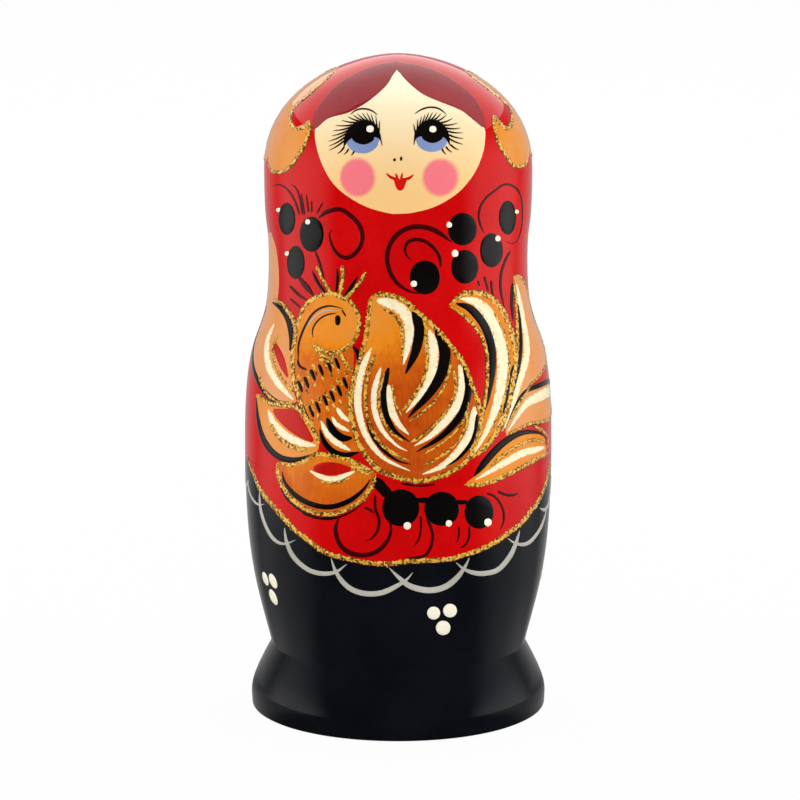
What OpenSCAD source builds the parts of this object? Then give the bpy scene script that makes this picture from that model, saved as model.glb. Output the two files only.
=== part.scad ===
// Nesting doll of turned wood: six hollow dolls, each of two halves, round one solid doll.
// Every doll has the same outline at its own scale, and stands on the floor of the doll
// around it, whose bore is cut to clear it.
// Lengths are in millimetres. The axis of turning is Z, and the outer foot stands on z = 0.

/* [Outer doll] */
// Radius at the hips, the widest place
hip_r = 39.8; // [36:0.1:46]
// How far the foot's radius falls short of the hips'
foot_inset = 1.4; // [0.4:0.1:3]
// Rounding of the foot's lower edge
foot_edge = 1.2; // [0.5:0.1:2.5]
// Height of the foot, up to the groove above it
foot_h = 17.2; // [12:0.1:24]
// How far the groove's radius falls short of the hips'
groove_inset = 6.6; // [5:0.1:8]
// Height from the groove to the hips
body_h = 51.8; // [40:0.1:64]
// How far the neck's radius falls short of the hips'
neck_inset = 6.5; // [4:0.1:9]
// Height from the hips to the neck
shoulder_h = 49; // [38:0.5:60]
// How far the head's radius falls short of the hips'
head_inset = 5.4; // [2:0.1:8]
// Height from the neck to the head's widest place
face_h = 23; // [16:0.5:32]
// Height from the head's widest place to the crown
dome_h = 29; // [22:0.5:38]
// Height of the outer doll's inner floor
floor_h = 17; // [14:0.5:20]
// Hollow of the inner floor's corner
floor_fillet = 1; // [0.4:0.1:1.6]

/* [Seam] */
// How far the seam between the halves lies below the hips
seam_drop = 2; // [0:0.5:8]
// Height of the outer doll's spigot
spigot_h = 9; // [6:0.5:12]
// Chamfer that leads the spigot into its socket
spigot_lead = 0.6; // [0.3:0.1:1]
// Clearance round the spigot
fit_gap = 0.08; // [0.05:0.01:0.1]
// Clearance above the spigot
spigot_end_gap = 0.4; // [0.2:0.1:0.8]

/* [Nesting] */
// Share of a doll's height that the doll inside keeps
nest_share = 0.804; // [0.78:0.001:0.82]
// Height that the doll inside loses besides
nest_step = 7.58; // [6:0.01:9]
// Clearance between a doll's foot and the wall around it
nest_gap = 0.8; // [0.5:0.1:1.2]
// Clearance above a doll's head
head_gap = 6; // [2:0.5:8]

/* [Hidden] */
NODES = [
    "doll1_lower_half", "doll1_upper_half",
    "doll2_lower_half", "doll2_upper_half",
    "doll3_lower_half", "doll3_upper_half",
    "doll4_lower_half", "doll4_upper_half",
    "doll5_lower_half", "doll5_upper_half",
    "doll6_lower_half", "doll6_upper_half",
    "doll7_solid"
];

// Fineness of the turned faces, and of each stretch of the outline
$fn = 96;
edge_steps = 4;
foot_steps = 8;
body_steps = 16;
shoulder_steps = 18;
face_steps = 8;
dome_steps = 18;
bore_steps = 12;

// Number of dolls, all but the last in two halves
doll_count = (len(NODES) + 1) / 2;

// Handles of the outline's curves, as shares of each curve's height, and the curves' leans
foot_handle_share = 0.22;
flare_handle_share = 0.75;
flare_lean_share = 0.55;
body_lower_handle_share = 0.3;
body_lean_share = 0.25;
body_upper_handle_share = 0.58;
shoulder_lower_handle_share = 0.77;
shoulder_upper_handle_share = 0.53;
neck_handle_share = 0.46;
cheek_handle_share = 0.8;
dome_side_share = 0.72;
dome_top_share = 0.34;

// Step that floor heights are rounded to, so that a foot and the floor under it meet exactly
height_step = 0.01;

// Thickness of the socket's and the spigot's walls, as shares of the doll's wall
socket_wall_share = 0.95;
spigot_wall_share = 0.8;

// Point on a cubic curve at t, from 0 to 1
function bezier(p, t) =
    pow(1 - t, 3) * p[0] + 3 * t * pow(1 - t, 2) * p[1]
    + 3 * t * t * (1 - t) * p[2] + pow(t, 3) * p[3];

// Points of a cubic curve after its first one
function curve(p, steps) = [for (i = [1:steps]) bezier(p, i / steps)];

// Quarter round about a centre, from one angle to another
function arc(centre, r, from, to, steps) =
    [for (i = [0:steps]) let (a = from + (to - from) * i / steps) centre + r * [cos(a), sin(a)]];

// Outline of the outer doll, as [radius, height] from the foot's lower edge to the crown
foot_r = hip_r - foot_inset;
groove_r = hip_r - groove_inset;
neck_r = hip_r - neck_inset;
head_r = hip_r - head_inset;
groove_z = foot_h;
hip_z = groove_z + body_h;
neck_z = hip_z + shoulder_h;
head_z = neck_z + face_h;
doll_h = head_z + dome_h;
seam_z = hip_z - seam_drop;
flare_h = groove_z - foot_edge;
outline = concat(
    arc([foot_r - foot_edge, foot_edge], foot_edge, -90, 0, edge_steps),
    curve([
        [foot_r, foot_edge],
        [foot_r, foot_edge + foot_handle_share * flare_h],
        [groove_r + flare_lean_share * flare_handle_share * flare_h,
            groove_z - flare_handle_share * flare_h],
        [groove_r, groove_z]
    ], foot_steps),
    curve([
        [groove_r, groove_z],
        [groove_r + body_lean_share * body_lower_handle_share * body_h,
            groove_z + body_lower_handle_share * body_h],
        [hip_r, hip_z - body_upper_handle_share * body_h],
        [hip_r, hip_z]
    ], body_steps),
    curve([
        [hip_r, hip_z],
        [hip_r, hip_z + shoulder_lower_handle_share * shoulder_h],
        [neck_r, neck_z - shoulder_upper_handle_share * shoulder_h],
        [neck_r, neck_z]
    ], shoulder_steps),
    curve([
        [neck_r, neck_z],
        [neck_r, neck_z + neck_handle_share * face_h],
        [head_r, head_z - cheek_handle_share * face_h],
        [head_r, head_z]
    ], face_steps),
    curve([
        [head_r, head_z],
        [head_r, head_z + dome_side_share * dome_h],
        [dome_top_share * head_r, doll_h],
        [0, doll_h]
    ], dome_steps)
);
radius_table = [for (p = outline) [p[1], p[0]]];

// Scale of each doll, from the outer one in
function nest(s, left) =
    left == 0 ? [] : concat([s], nest(nest_share * s - nest_step / doll_h, left - 1));
scales = nest(1, doll_count);
function scale_of(level) = scales[level - 1];

// Height of a doll's inner floor above its foot, in whole steps, and the height that the doll stands at
function floor_of(level) = height_step * round(floor_h * scale_of(level) / height_step);
function stand_of(level) = level == 1 ? 0 : stand_of(level - 1) + floor_of(level - 1);

// Outside radius of a doll at height z above its foot
function outside_r(level, z) = scale_of(level) * lookup(z / scale_of(level), radius_table);

// The wall is what is left at the groove, outside the foot of the doll inside and its clearance
function wall(level) = groove_r * scale_of(level) - nest_gap - foot_r * scale_of(level + 1);

// Socket, spigot and mouth of a doll
function socket_r(level) = outside_r(level, seam_z * scale_of(level)) - socket_wall_share * wall(level);
function spigot_r(level) = socket_r(level) - fit_gap;
function mouth_r(level) = spigot_r(level) - spigot_wall_share * wall(level);
function spigot_top(level) = (seam_z + spigot_h) * scale_of(level);

// The bore narrows from the mouth both ways, and never opens out again past the groove or the neck
function bore_r(level, z) = let (s = scale_of(level)) min(
    mouth_r(level),
    outside_r(level, min(max(z, groove_z * s), neck_z * s)) - wall(level),
    outside_r(level, min(z, head_z * s)) - wall(level)
);

// Top of a doll's bore, above the head of the doll inside
function ceiling_z(level) = floor_of(level) + doll_h * scale_of(level + 1) + head_gap;

// Outline points of a doll of scale s between two heights of the full-size doll
function stretch(s, from, to) = [for (p = outline) if (p[1] > from && p[1] < to) s * p];

// Bore points between two heights, in order
function bore_wall(level, from, to) =
    [for (i = [0:bore_steps]) let (z = from + (to - from) * i / bore_steps) [bore_r(level, z), z]];

// Lower half: foot, cup and spigot
module lower_half(level) {
    s = scale_of(level);
    seam = seam_z * s;
    lead = spigot_lead * s;
    floor_z = floor_of(level);
    fillet = floor_fillet * s;
    corner_r = bore_r(level, floor_z) - fillet;
    color("#16171d")
        translate([0, 0, stand_of(level)])
            rotate_extrude()
                polygon(concat(
                    [[0, 0], [(foot_r - foot_edge) * s, 0]],
                    stretch(s, 0, seam_z),
                    [[outside_r(level, seam), seam], [spigot_r(level), seam]],
                    [[spigot_r(level), spigot_top(level) - lead]],
                    [[spigot_r(level) - lead, spigot_top(level)]],
                    [[mouth_r(level), spigot_top(level)]],
                    bore_wall(level, seam, floor_z + fillet),
                    arc([corner_r, floor_z + fillet], fillet, 0, -90, edge_steps),
                    [[0, floor_z]]
                ));
}

// Upper half: socket, shoulders and head
module upper_half(level) {
    s = scale_of(level);
    seam = seam_z * s;
    lead = spigot_lead * s;
    socket_top = spigot_top(level) + spigot_end_gap;
    ceiling = ceiling_z(level);
    rise = bore_r(level, head_z * s) * dome_h / head_r;
    dome_r = bore_r(level, ceiling - rise);
    color("#c41622")
        translate([0, 0, stand_of(level)])
            rotate_extrude()
                polygon(concat(
                    [[socket_r(level) + lead, seam], [outside_r(level, seam), seam]],
                    stretch(s, seam_z, doll_h),
                    [[0, doll_h * s]],
                    [for (i = [0:dome_steps - 1]) bezier([
                        [0, ceiling],
                        [dome_top_share * dome_r, ceiling],
                        [dome_r, ceiling - rise + dome_side_share * rise],
                        [dome_r, ceiling - rise]
                    ], i / dome_steps)],
                    bore_wall(level, ceiling - rise, socket_top),
                    [[socket_r(level), socket_top], [socket_r(level), seam + lead]]
                ));
}

// The innermost doll is turned in one piece
module solid_doll(level) {
    s = scale_of(level);
    color("#c41622")
        translate([0, 0, stand_of(level)])
            rotate_extrude()
                polygon(concat(
                    [[0, 0], [(foot_r - foot_edge) * s, 0]],
                    stretch(s, 0, doll_h),
                    [[0, doll_h * s]]
                ));
}

lower_half(1);  // doll1_lower_half
upper_half(1);  // doll1_upper_half
lower_half(2);  // doll2_lower_half
upper_half(2);  // doll2_upper_half
lower_half(3);  // doll3_lower_half
upper_half(3);  // doll3_upper_half
lower_half(4);  // doll4_lower_half
upper_half(4);  // doll4_upper_half
lower_half(5);  // doll5_lower_half
upper_half(5);  // doll5_upper_half
lower_half(6);  // doll6_lower_half
upper_half(6);  // doll6_upper_half
solid_doll(7);  // doll7_solid
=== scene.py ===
# %% [markdown]
# # A set of painted nesting dolls
# Seven dolls turned in limewood stand one inside another. Each hollow doll is two halves that meet
# at a seam just under the hips, and the whole set is painted and lacquered.
# The solids already exist, so this lesson dresses them: it turns smooth shells, mixes the finishes,
# and lays the painting on the shells as thin raised strokes, as a brush leaves them.

# %% Load the frame
import math

import bpy
import numpy as np
from mathutils import Matrix, Vector


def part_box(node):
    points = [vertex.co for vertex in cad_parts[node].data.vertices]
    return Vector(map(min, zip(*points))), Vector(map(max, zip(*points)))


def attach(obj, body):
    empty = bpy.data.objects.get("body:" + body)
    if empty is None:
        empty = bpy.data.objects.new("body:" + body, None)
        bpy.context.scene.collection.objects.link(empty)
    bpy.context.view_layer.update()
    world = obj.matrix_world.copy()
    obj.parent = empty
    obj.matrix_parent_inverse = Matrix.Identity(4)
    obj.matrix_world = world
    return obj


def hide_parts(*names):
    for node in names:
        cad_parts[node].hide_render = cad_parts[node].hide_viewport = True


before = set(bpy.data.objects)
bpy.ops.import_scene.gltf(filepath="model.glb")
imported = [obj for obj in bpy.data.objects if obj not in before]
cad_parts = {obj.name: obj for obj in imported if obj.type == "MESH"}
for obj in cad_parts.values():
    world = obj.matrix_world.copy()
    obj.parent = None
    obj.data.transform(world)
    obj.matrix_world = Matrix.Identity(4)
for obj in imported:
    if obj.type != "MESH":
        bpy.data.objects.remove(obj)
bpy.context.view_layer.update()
mm = 0.001

# %% [markdown]
# ## Seven sizes of one outline
# A turner keeps one pattern and scales it, so every doll here is the outer doll at another size.
# Measuring the solids gives each doll's height and the place it stands at. Then a shape that is made
# once for the outer doll can be copied to the others by its scale.

# %% Measure the dolls
doll_count = 7
dolls = []
for number in range(1, doll_count + 1):
    hollow = number < doll_count
    lower = f"doll{number}_lower_half" if hollow else f"doll{number}_solid"
    upper = f"doll{number}_upper_half" if hollow else f"doll{number}_solid"
    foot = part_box(lower)[0].z
    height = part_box(upper)[1].z - foot
    dolls.append({"name": f"doll{number}", "lower": lower, "upper": upper, "foot": foot,
                  "height": height, "hollow": hollow})
outer = dolls[0]
seam_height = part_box(outer["upper"])[0].z
for doll in dolls:
    doll["scale"] = doll["height"] / outer["height"]
    doll["seam"] = doll["foot"] + seam_height * doll["scale"]
    print(doll["name"], "height", round(doll["height"] / mm, 2), "mm, scale", round(doll["scale"], 4))

# %% [markdown]
# ## Reading a turned outline
# A turned piece is known by its outline: radius against height. The solid's mesh is rings of points,
# so its rings are collected and walked from one end of the outline to the other. The alternative is to
# type the outline in again, which could drift from the solid.

# %% Walk the rings of a turned solid
ring_reach = 0.004 * mm
ring_cell = 0.25 * ring_reach


def turned_outline(node):
    """Points (radius, height) of a turned solid, in order from its foot or its crown."""
    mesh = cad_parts[node].data
    places = np.zeros(len(mesh.vertices) * 3)
    mesh.vertices.foreach_get("co", places)
    places = places.reshape(-1, 3)
    flat = np.column_stack((np.hypot(places[:, 0], places[:, 1]), places[:, 2]))
    keys, key_of = np.unique(np.round(flat / ring_cell), axis=0, return_inverse=True)
    rings = []
    ring_of_key = []
    for key in keys * ring_cell:
        gaps = [float(np.hypot(*(key - ring))) for ring in rings]
        if gaps and min(gaps) < ring_reach:
            ring_of_key.append(int(np.argmin(gaps)))
        else:
            ring_of_key.append(len(rings))
            rings.append(key)
    ring_of = np.array(ring_of_key)[key_of.ravel()]
    near = [set() for ring in rings]
    for face in mesh.polygons:
        corners = [int(ring_of[i]) for i in face.vertices]
        for a, b in zip(corners, corners[1:] + corners[:1]):
            if a != b:
                near[a].add(b)
                near[b].add(a)
    ends = [i for i, others in enumerate(near) if len(others) == 1]
    start = min(ends, key=lambda i: rings[i][1])
    if "upper" in node:
        start = max(ends, key=lambda i: rings[i][1])
    order = [start]
    while True:
        onward = [i for i in near[order[-1]] if i not in order]
        if not onward:
            break
        order.append(onward[0])
    return np.array([rings[i] for i in order]), len(rings)


for doll in dolls:
    for half in ("lower", "upper"):
        doll[half + "_line"], ring_count = turned_outline(doll[half])
        print(doll[half], "outline of", len(doll[half + "_line"]), "points from", ring_count, "rings")

# %% [markdown]
# ## Smoothing the outline
# The outside is what light plays on, so it gets a smooth curve through the rings, broken at the sharp
# groove above the foot. It is drawn in by a quarter of a millimetre, which leaves the painting room to
# stand on it without growing past the solid.

# %% Smooth a line through its points
least_length = 1e-9


def through(points, pace):
    """A smooth line through points, with steps of about pace."""
    points = np.asarray(points, float)
    if len(points) == 2:
        count = max(2, int(math.ceil(np.linalg.norm(points[1] - points[0]) / pace)) + 1)
        return points[0] + (points[1] - points[0]) * np.linspace(0, 1, count)[:, None]
    padded = np.vstack((2 * points[0] - points[1], points, 2 * points[-1] - points[-2]))
    line = [points[:1]]
    for a, b, c, d in zip(padded, padded[1:], padded[2:], padded[3:]):
        count = max(1, int(round(np.linalg.norm(c - b) / pace)))
        t = (np.arange(1, count + 1) / count)[:, None]
        line.append(0.5 * (2 * b + (c - a) * t + (2 * a - 5 * b + 4 * c - d) * t ** 2
                           + (3 * b - a - 3 * c + d) * t ** 3))
    return np.vstack(line)


def outward(line):
    """Unit normals of an outline that runs up the right-hand side."""
    run = np.gradient(line, axis=0)
    side = np.column_stack((run[:, 1], -run[:, 0]))
    return side / np.maximum(np.linalg.norm(side, axis=1, keepdims=True), least_length)


def lengths_along(line):
    """The length of a line up to each of its points."""
    return np.append(0, np.cumsum(np.linalg.norm(np.diff(line, axis=0), axis=1)))


relief = 0.25 * mm
outline_pace = 2.0 * mm
corner_turn = math.radians(35)
finest_scale = 0.3
same_place = 1e-7
least_outside = 3


def split_at_seam(line):
    """Outside of an outline, and the rest of it after the seam."""
    for i in range(least_outside, len(line) - 1):
        if abs(line[i + 1, 1] - line[i, 1]) < same_place and line[i + 1, 0] < line[i, 0]:
            return line[:i + 1], line[i + 1:]
    return line, line[:0]


def smooth_outside(outside, scale):
    """The outside drawn as a smooth line, broken at sharp corners."""
    run = np.diff(outside, axis=0)
    heading = np.unwrap(np.arctan2(run[:, 1], run[:, 0]))
    breaks = [0] + [i + 1 for i in range(len(heading) - 1)
                    if abs(heading[i + 1] - heading[i]) > corner_turn] + [len(outside) - 1]
    pace = outline_pace * max(scale, finest_scale)
    parts = [through(outside[a:b + 1], pace) for a, b in zip(breaks, breaks[1:])]
    return np.vstack([parts[0]] + [part[1:] for part in parts[1:]])


lower_outside = split_at_seam(outer["lower_line"])[0]
upper_outside = split_at_seam(outer["upper_line"])[0]
whole_outside = np.vstack((lower_outside, upper_outside[::-1]))
doubled = np.linalg.norm(np.diff(whole_outside, axis=0), axis=1) < same_place
whole_outside = smooth_outside(whole_outside[np.append(~doubled, True)], finest_scale)
whole_normal = outward(whole_outside)
whole_arc = lengths_along(whole_outside)
print("outer outline:", len(whole_outside), "points,", round(whole_arc[-1] / mm, 1), "mm of line")

# %% [markdown]
# ## Turning the shells
# On a lathe the outline spins about the axis, and Blender's Spin does the same. A ring of vertices is
# pulled into the outline, opened along the axis, and spun a full turn. Doubles are merged, and the
# normals are made to point outwards. A Screw modifier could do this too, but Spin leaves the mesh
# finished, with nothing to apply.

# %% Spin a shell
turn_steps = 176
least_steps = 72
merge_reach = 1e-6
shell_crease = math.radians(34)


def only(piece):
    """Select one piece and make it active."""
    bpy.ops.object.select_all(action="DESELECT")
    piece.select_set(True)
    bpy.context.view_layer.objects.active = piece


def spin_shell(name, line, steps):
    """A closed shell of revolution from an outline that ends on the axis."""
    bpy.ops.object.select_all(action="DESELECT")
    bpy.ops.mesh.primitive_circle_add(vertices=len(line), radius=outer["height"], fill_type="NOTHING")
    shell = bpy.context.object
    shell.name = name
    for vertex, (radius, height) in zip(shell.data.vertices, line):
        vertex.co = (radius, 0, height)
        vertex.select = False
    on_axis = {0, len(line) - 1}
    for edge in shell.data.edges:
        edge.select = set(edge.vertices) == on_axis
    shell.location = (0, 0, 0)
    bpy.ops.object.mode_set(mode="EDIT")
    bpy.ops.mesh.select_mode(type="EDGE")
    bpy.ops.mesh.delete(type="EDGE")
    bpy.ops.mesh.select_mode(type="VERT")
    bpy.ops.mesh.select_all(action="SELECT")
    bpy.ops.mesh.spin(steps=steps, angle=math.tau, center=(0, 0, 0), axis=(0, 0, 1))
    bpy.ops.mesh.select_all(action="SELECT")
    bpy.ops.mesh.remove_doubles(threshold=merge_reach)
    bpy.ops.mesh.normals_make_consistent(inside=False)
    bpy.ops.object.mode_set(mode="OBJECT")
    bpy.ops.object.shade_smooth_by_angle(angle=shell_crease)
    return shell


def shell_line(line, scale):
    """Outline of a shell: the outside drawn in by the relief, then the inside as it is."""
    outside, inside = split_at_seam(line)
    rising = outside[-1, 1] > outside[0, 1]
    smooth = smooth_outside(outside, scale)
    normal = outward(smooth) if rising else -outward(smooth)
    drawn = smooth - normal * relief * scale
    drawn[-1, 1] = outside[-1, 1]
    if rising:
        drawn[0] = (outside[0, 0] - relief * scale, outside[0, 1])
    else:
        drawn[0, 0] = 0
    ends = [drawn, inside]
    if drawn[0, 0] > merge_reach:
        ends.insert(0, np.array([[0, drawn[0, 1]]]))
    if len(inside) == 0:
        drawn[-1, 0] = 0
    elif inside[-1, 0] > merge_reach:
        ends.append(np.array([[0, inside[-1, 1]]]))
    return np.vstack(ends), drawn


def body_of(doll, half):
    """The body that a half of a doll moves with."""
    return f"{doll['name']}_{half}" if doll["hollow"] else doll["name"]


shells = []
for doll in dolls:
    for half in ("lower", "upper") if doll["hollow"] else ("lower",):
        line, doll[half + "_skin"] = shell_line(doll[half + "_line"], doll["scale"])
        steps = max(least_steps, int(turn_steps * math.sqrt(doll["scale"])))
        body = body_of(doll, half)
        shell = spin_shell(body + "_shell", line, steps)
        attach(shell, body)
        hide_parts(doll[half])
        shells.append((shell, doll, half))
        print(shell.name, len(shell.data.polygons), "faces")

# %% [markdown]
# ## The photographer's place
# The camera stands at the angle the doll was photographed from: a long lens just under a metre off,
# and a little above the doll. The same numbers turn a place in the picture into a place on the doll,
# by following the line of sight until it meets the outline. So the painting can be drawn the way a
# painter sees it.

# %% Camera
picture_side = 800
camera_place = np.array((0.46, -930.0, 257.9))
camera_aim = np.array((0.46, 0.0, 80.47))
focal_pixels = 3674.85
sensor_width = 36.0
near_clip = 0.01

bpy.ops.object.select_all(action="DESELECT")
facing = Vector(camera_aim - camera_place).to_track_quat("-Z", "Y").to_euler()
bpy.ops.object.camera_add(location=tuple(camera_place * mm), rotation=facing)
camera = bpy.context.object
camera.data.sensor_width = sensor_width
camera.data.lens = focal_pixels / picture_side * sensor_width
camera.data.clip_start = near_clip
bpy.context.scene.camera = camera
print("lens", round(camera.data.lens, 1), "mm")

# %% From the picture to the doll
ahead = (camera_aim - camera_place) / np.linalg.norm(camera_aim - camera_place)
to_right = np.cross(ahead, (0.0, 0.0, 1.0))
to_right /= np.linalg.norm(to_right)
to_top = np.cross(to_right, ahead)
# Depths in millimetres between which a line of sight is searched for the doll
sight_start = 888
sight_end = 976
sight_count = 177
sight_halvings = 16
sight_steps = np.linspace(sight_start, sight_end, sight_count)
doll_z = whole_outside[:, 1] / mm
doll_r = whole_outside[:, 0] / mm


def arc_at(height):
    """Length along the outer doll's outline at a height in millimetres."""
    return np.interp(height * mm, whole_outside[:, 1], whole_arc)


def radius_at(arc):
    """Radius of the outer doll at a length along its outline."""
    return np.interp(arc, whole_arc, whole_outside[:, 0])


def beyond(place):
    """How far a place in millimetres is outside the outer doll."""
    doll_here = np.interp(place[..., 2], doll_z, doll_r, left=0, right=0)
    return np.hypot(place[..., 0], place[..., 1]) - doll_here


def seen(pixels):
    """Angle round the doll and length along its outline, where lines of sight meet it."""
    pixels = np.asarray(pixels, float).reshape(-1, 2)
    half_side = picture_side / 2
    sight = (ahead + to_right * (pixels[:, :1] - half_side) / focal_pixels
             + to_top * (half_side - pixels[:, 1:]) / focal_pixels)
    gap = beyond(camera_place + sight[:, None] * sight_steps[None, :, None])
    met = (gap < 0).any(axis=1)
    first = np.where(met, (gap < 0).argmax(axis=1), gap.argmin(axis=1))
    far = sight_steps[first]
    near = np.where(met, sight_steps[np.maximum(first - 1, 0)], far)
    for halving in range(sight_halvings):
        middle = 0.5 * (near + far)
        hit = beyond(camera_place + sight * middle[:, None]) < 0
        far = np.where(met & hit, middle, far)
        near = np.where(met & ~hit, middle, near)
    place = camera_place + sight * far[:, None]
    angle = np.arctan2(place[:, 0], -place[:, 1])
    return angle, arc_at(place[:, 2])


def laid(angle, arc, lift):
    """Places on the outer doll's drawn-in skin, lifted by so many millimetres."""
    rise = lift * mm - relief
    radius = radius_at(arc) + np.interp(arc, whole_arc, whole_normal[:, 0]) * rise
    height = np.interp(arc, whole_arc, whole_outside[:, 1])
    height = height + np.interp(arc, whole_arc, whole_normal[:, 1]) * rise
    return np.stack((radius * np.sin(angle), -radius * np.cos(angle), height), axis=-1)


chin = (397, 214)
chin_angle, chin_arc = seen([chin])
print("chin at height", round(float(laid(chin_angle, chin_arc, 0)[0, 2]) / mm, 1), "mm")

# %% [markdown]
# ## A pale studio
# The doll stands on a plain white floor under soft light. The lacquer is a mirror, so the lamps are
# broad panels: one overhead that shines in the crown, and others that light the front and the sides.
# The world is white to the camera. What the lacquer mirrors is a plain room: windows to the sides, a
# pale wall behind and dim in front, where the photographer stands.

# %% Nodes written as sums
class Wire:
    """A socket of a node tree. Sums on it add Math nodes."""

    def __init__(self, tree, socket=None):
        self.tree = tree
        self.socket = socket

    def node(self, kind, settings=None, inputs=None, out=0):
        made = self.tree.nodes.new("ShaderNode" + kind)
        for key, value in (settings or {}).items():
            if key == "stops":
                stops = made.color_ramp.elements
                while len(stops) < len(value):
                    stops.new(0.5)
                for stop, (place, colour) in zip(stops, value):
                    stop.position = place
                    stop.color = colour
            else:
                setattr(made, key, value)
        for key, value in (inputs or {}).items():
            if isinstance(value, Wire):
                self.tree.links.new(value.socket, made.inputs[key])
            else:
                made.inputs[key].default_value = value
        return Wire(self.tree, made.outputs[out])

    def maths(self, operation, first, second):
        return self.node("Math", {"operation": operation}, {0: first, 1: second})

    def __add__(self, other):
        return self.maths("ADD", self, other)

    def __radd__(self, other):
        return self.maths("ADD", other, self)

    def __sub__(self, other):
        return self.maths("SUBTRACT", self, other)

    def __rsub__(self, other):
        return self.maths("SUBTRACT", other, self)

    def __mul__(self, other):
        return self.maths("MULTIPLY", self, other)

    def __rmul__(self, other):
        return self.maths("MULTIPLY", other, self)

    def blend(self, first, second):
        """Mix two colours by this value."""
        return self.node("Mix", {"data_type": "RGBA"}, {0: self, 6: first, 7: second}, 2)

    def ease(self, low, high):
        """0 below low, 1 above high, and smooth between."""
        return self.node("MapRange", {"interpolation_type": "SMOOTHSTEP"}, {0: self, 1: low, 2: high})


def tint(red, green, blue):
    """A colour read as 0 to 255 on a screen, as the shader wants it."""
    parts = [c / 255 for c in (red, green, blue)]
    return tuple(c / 12.92 if c <= 0.04045 else ((c + 0.055) / 1.055) ** 2.4 for c in parts) + (1.0,)


screen_grey = 128
shader_grey = tint(screen_grey, screen_grey, screen_grey)[0]
print("a screen grey of", screen_grey, "is", round(shader_grey, 3), "in the shader")

# %% World
room_light = 0.42
room_dim = 0.03
window_edge = (0.62, 0.98)
window_glow = 0.95
window_top = (0.1, 0.6)
window_fall = 0.65
wall_edge = (0.3, 1.0)
wall_glow = 0.42


def room_in_lacquer(pen, heading, window_share):
    """How bright the room looks in the lacquer: windows to the sides and a pale wall behind."""
    sideways = pen.node("SeparateXYZ", inputs={0: heading}, out="X")
    backward = pen.node("SeparateXYZ", inputs={0: heading}, out="Y")
    windows = (sideways * sideways).ease(*window_edge) * window_share * window_glow
    return room_dim + windows + backward.ease(*wall_edge) * wall_glow


world = bpy.data.worlds.new("white_studio")
bpy.context.scene.world = world
world.use_nodes = True
pen = Wire(world.node_tree)
background = world.node_tree.nodes["Background"]
heading = pen.node("TexCoord", out="Generated")
rays = pen.node("LightPath", out="Is Camera Ray")
shiny_rays = pen.node("LightPath", out="Is Glossy Ray")
clear_rays = pen.node("LightPath", out="Is Transmission Ray")
upward = pen.node("SeparateXYZ", inputs={0: heading}, out="Z")
mirrored = room_in_lacquer(pen, heading, 1 - upward.ease(*window_top) * window_fall)
other_rays = 1 - rays - shiny_rays - clear_rays
brightness = rays + clear_rays + shiny_rays * mirrored + other_rays * room_light
world.node_tree.links.new(brightness.socket, background.inputs["Strength"])
background.inputs["Color"].default_value = (1, 1, 1, 1)
bpy.context.scene.view_settings.view_transform = "Standard"
print("world nodes:", len(world.node_tree.nodes))

# %% Panels of light
def light_panel(name, place, aim, width, height, power, mirrored):
    """A soft lamp that faces a point, and shows in the lacquer or not."""
    bpy.ops.object.select_all(action="DESELECT")
    facing = (Vector(aim) - Vector(place)).to_track_quat("-Z", "Y").to_euler()
    bpy.ops.object.light_add(type="AREA", location=place, rotation=facing)
    lamp = bpy.context.object
    lamp.name = name
    lamp.data.shape = "RECTANGLE"
    lamp.data.size = width
    lamp.data.size_y = height
    lamp.data.energy = power
    lamp.visible_glossy = mirrored


chest = (0, 0, 0.09)
panels = {
    "overhead_panel": {"place": (0, 1.1, 0.70), "aim": (0, 1.1, 0), "width": 1.8, "height": 2.2,
                       "power": 14.6, "mirrored": True},
    "left_panel": {"place": (-0.85, -0.15, 0.30), "aim": chest, "width": 0.5, "height": 0.9,
                   "power": 3.2, "mirrored": False},
    "right_panel": {"place": (0.85, -0.15, 0.30), "aim": chest, "width": 0.5, "height": 0.9,
                    "power": 4.0, "mirrored": False},
    "front_fill": {"place": (0.0, -1.5, 0.45), "aim": chest, "width": 0.8, "height": 0.8,
                   "power": 7.9, "mirrored": False},
}
for name, panel in panels.items():
    light_panel(name, **panel)
print("lamps:", list(panels))

# %% Floor
floor_size = 7.0
floor_cuts = 6
bpy.ops.object.select_all(action="DESELECT")
bpy.ops.mesh.primitive_plane_add(size=floor_size, location=(0, 0, 0))
floor = bpy.context.object
floor.name = "studio_floor"
bpy.ops.object.mode_set(mode="EDIT")
bpy.ops.mesh.subdivide(number_cuts=floor_cuts)
bpy.ops.object.mode_set(mode="OBJECT")
paper = bpy.data.materials.new("white_paper")
paper.use_nodes = True
pen = Wire(paper.node_tree)
for node in list(paper.node_tree.nodes):
    paper.node_tree.nodes.remove(node)
place = pen.node("TexCoord", out="Object")
speck = pen.node("TexNoise", inputs={"Vector": place, "Scale": 4.0})
pale = speck.blend(tint(216, 216, 216), tint(224, 224, 224))
matt = pen.node("BsdfDiffuse", inputs={"Color": pale})
glow = pen.node("Emission", inputs={"Color": (1, 1, 1, 1), "Strength": 1.0})
dark = pen.node("Emission", inputs={"Color": (1, 1, 1, 1), "Strength": 0.0})
camera_rays = pen.node("LightPath", out="Is Camera Ray")
shiny_rays = pen.node("LightPath", out="Is Glossy Ray")
white_share = 0.965
doll_shade = (0.08, 0.5)
near_window = 0.3
to_camera = pen.node("MixShader", inputs={0: camera_rays * white_share, 1: matt, 2: glow})
outwards = pen.node("VectorMath", {"operation": "NORMALIZE"}, {0: place})
# In the lacquer the floor glows with painted window and wall light, painted darker near the doll as its
# shadow
far_off = pen.node("VectorMath", {"operation": "LENGTH"}, {0: place}, "Value").ease(*doll_shade)
mirrored = room_in_lacquer(pen, outwards, near_window + far_off * (1 - near_window))
to_lacquer = pen.node("MixShader", inputs={0: mirrored, 1: dark, 2: glow})
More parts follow.
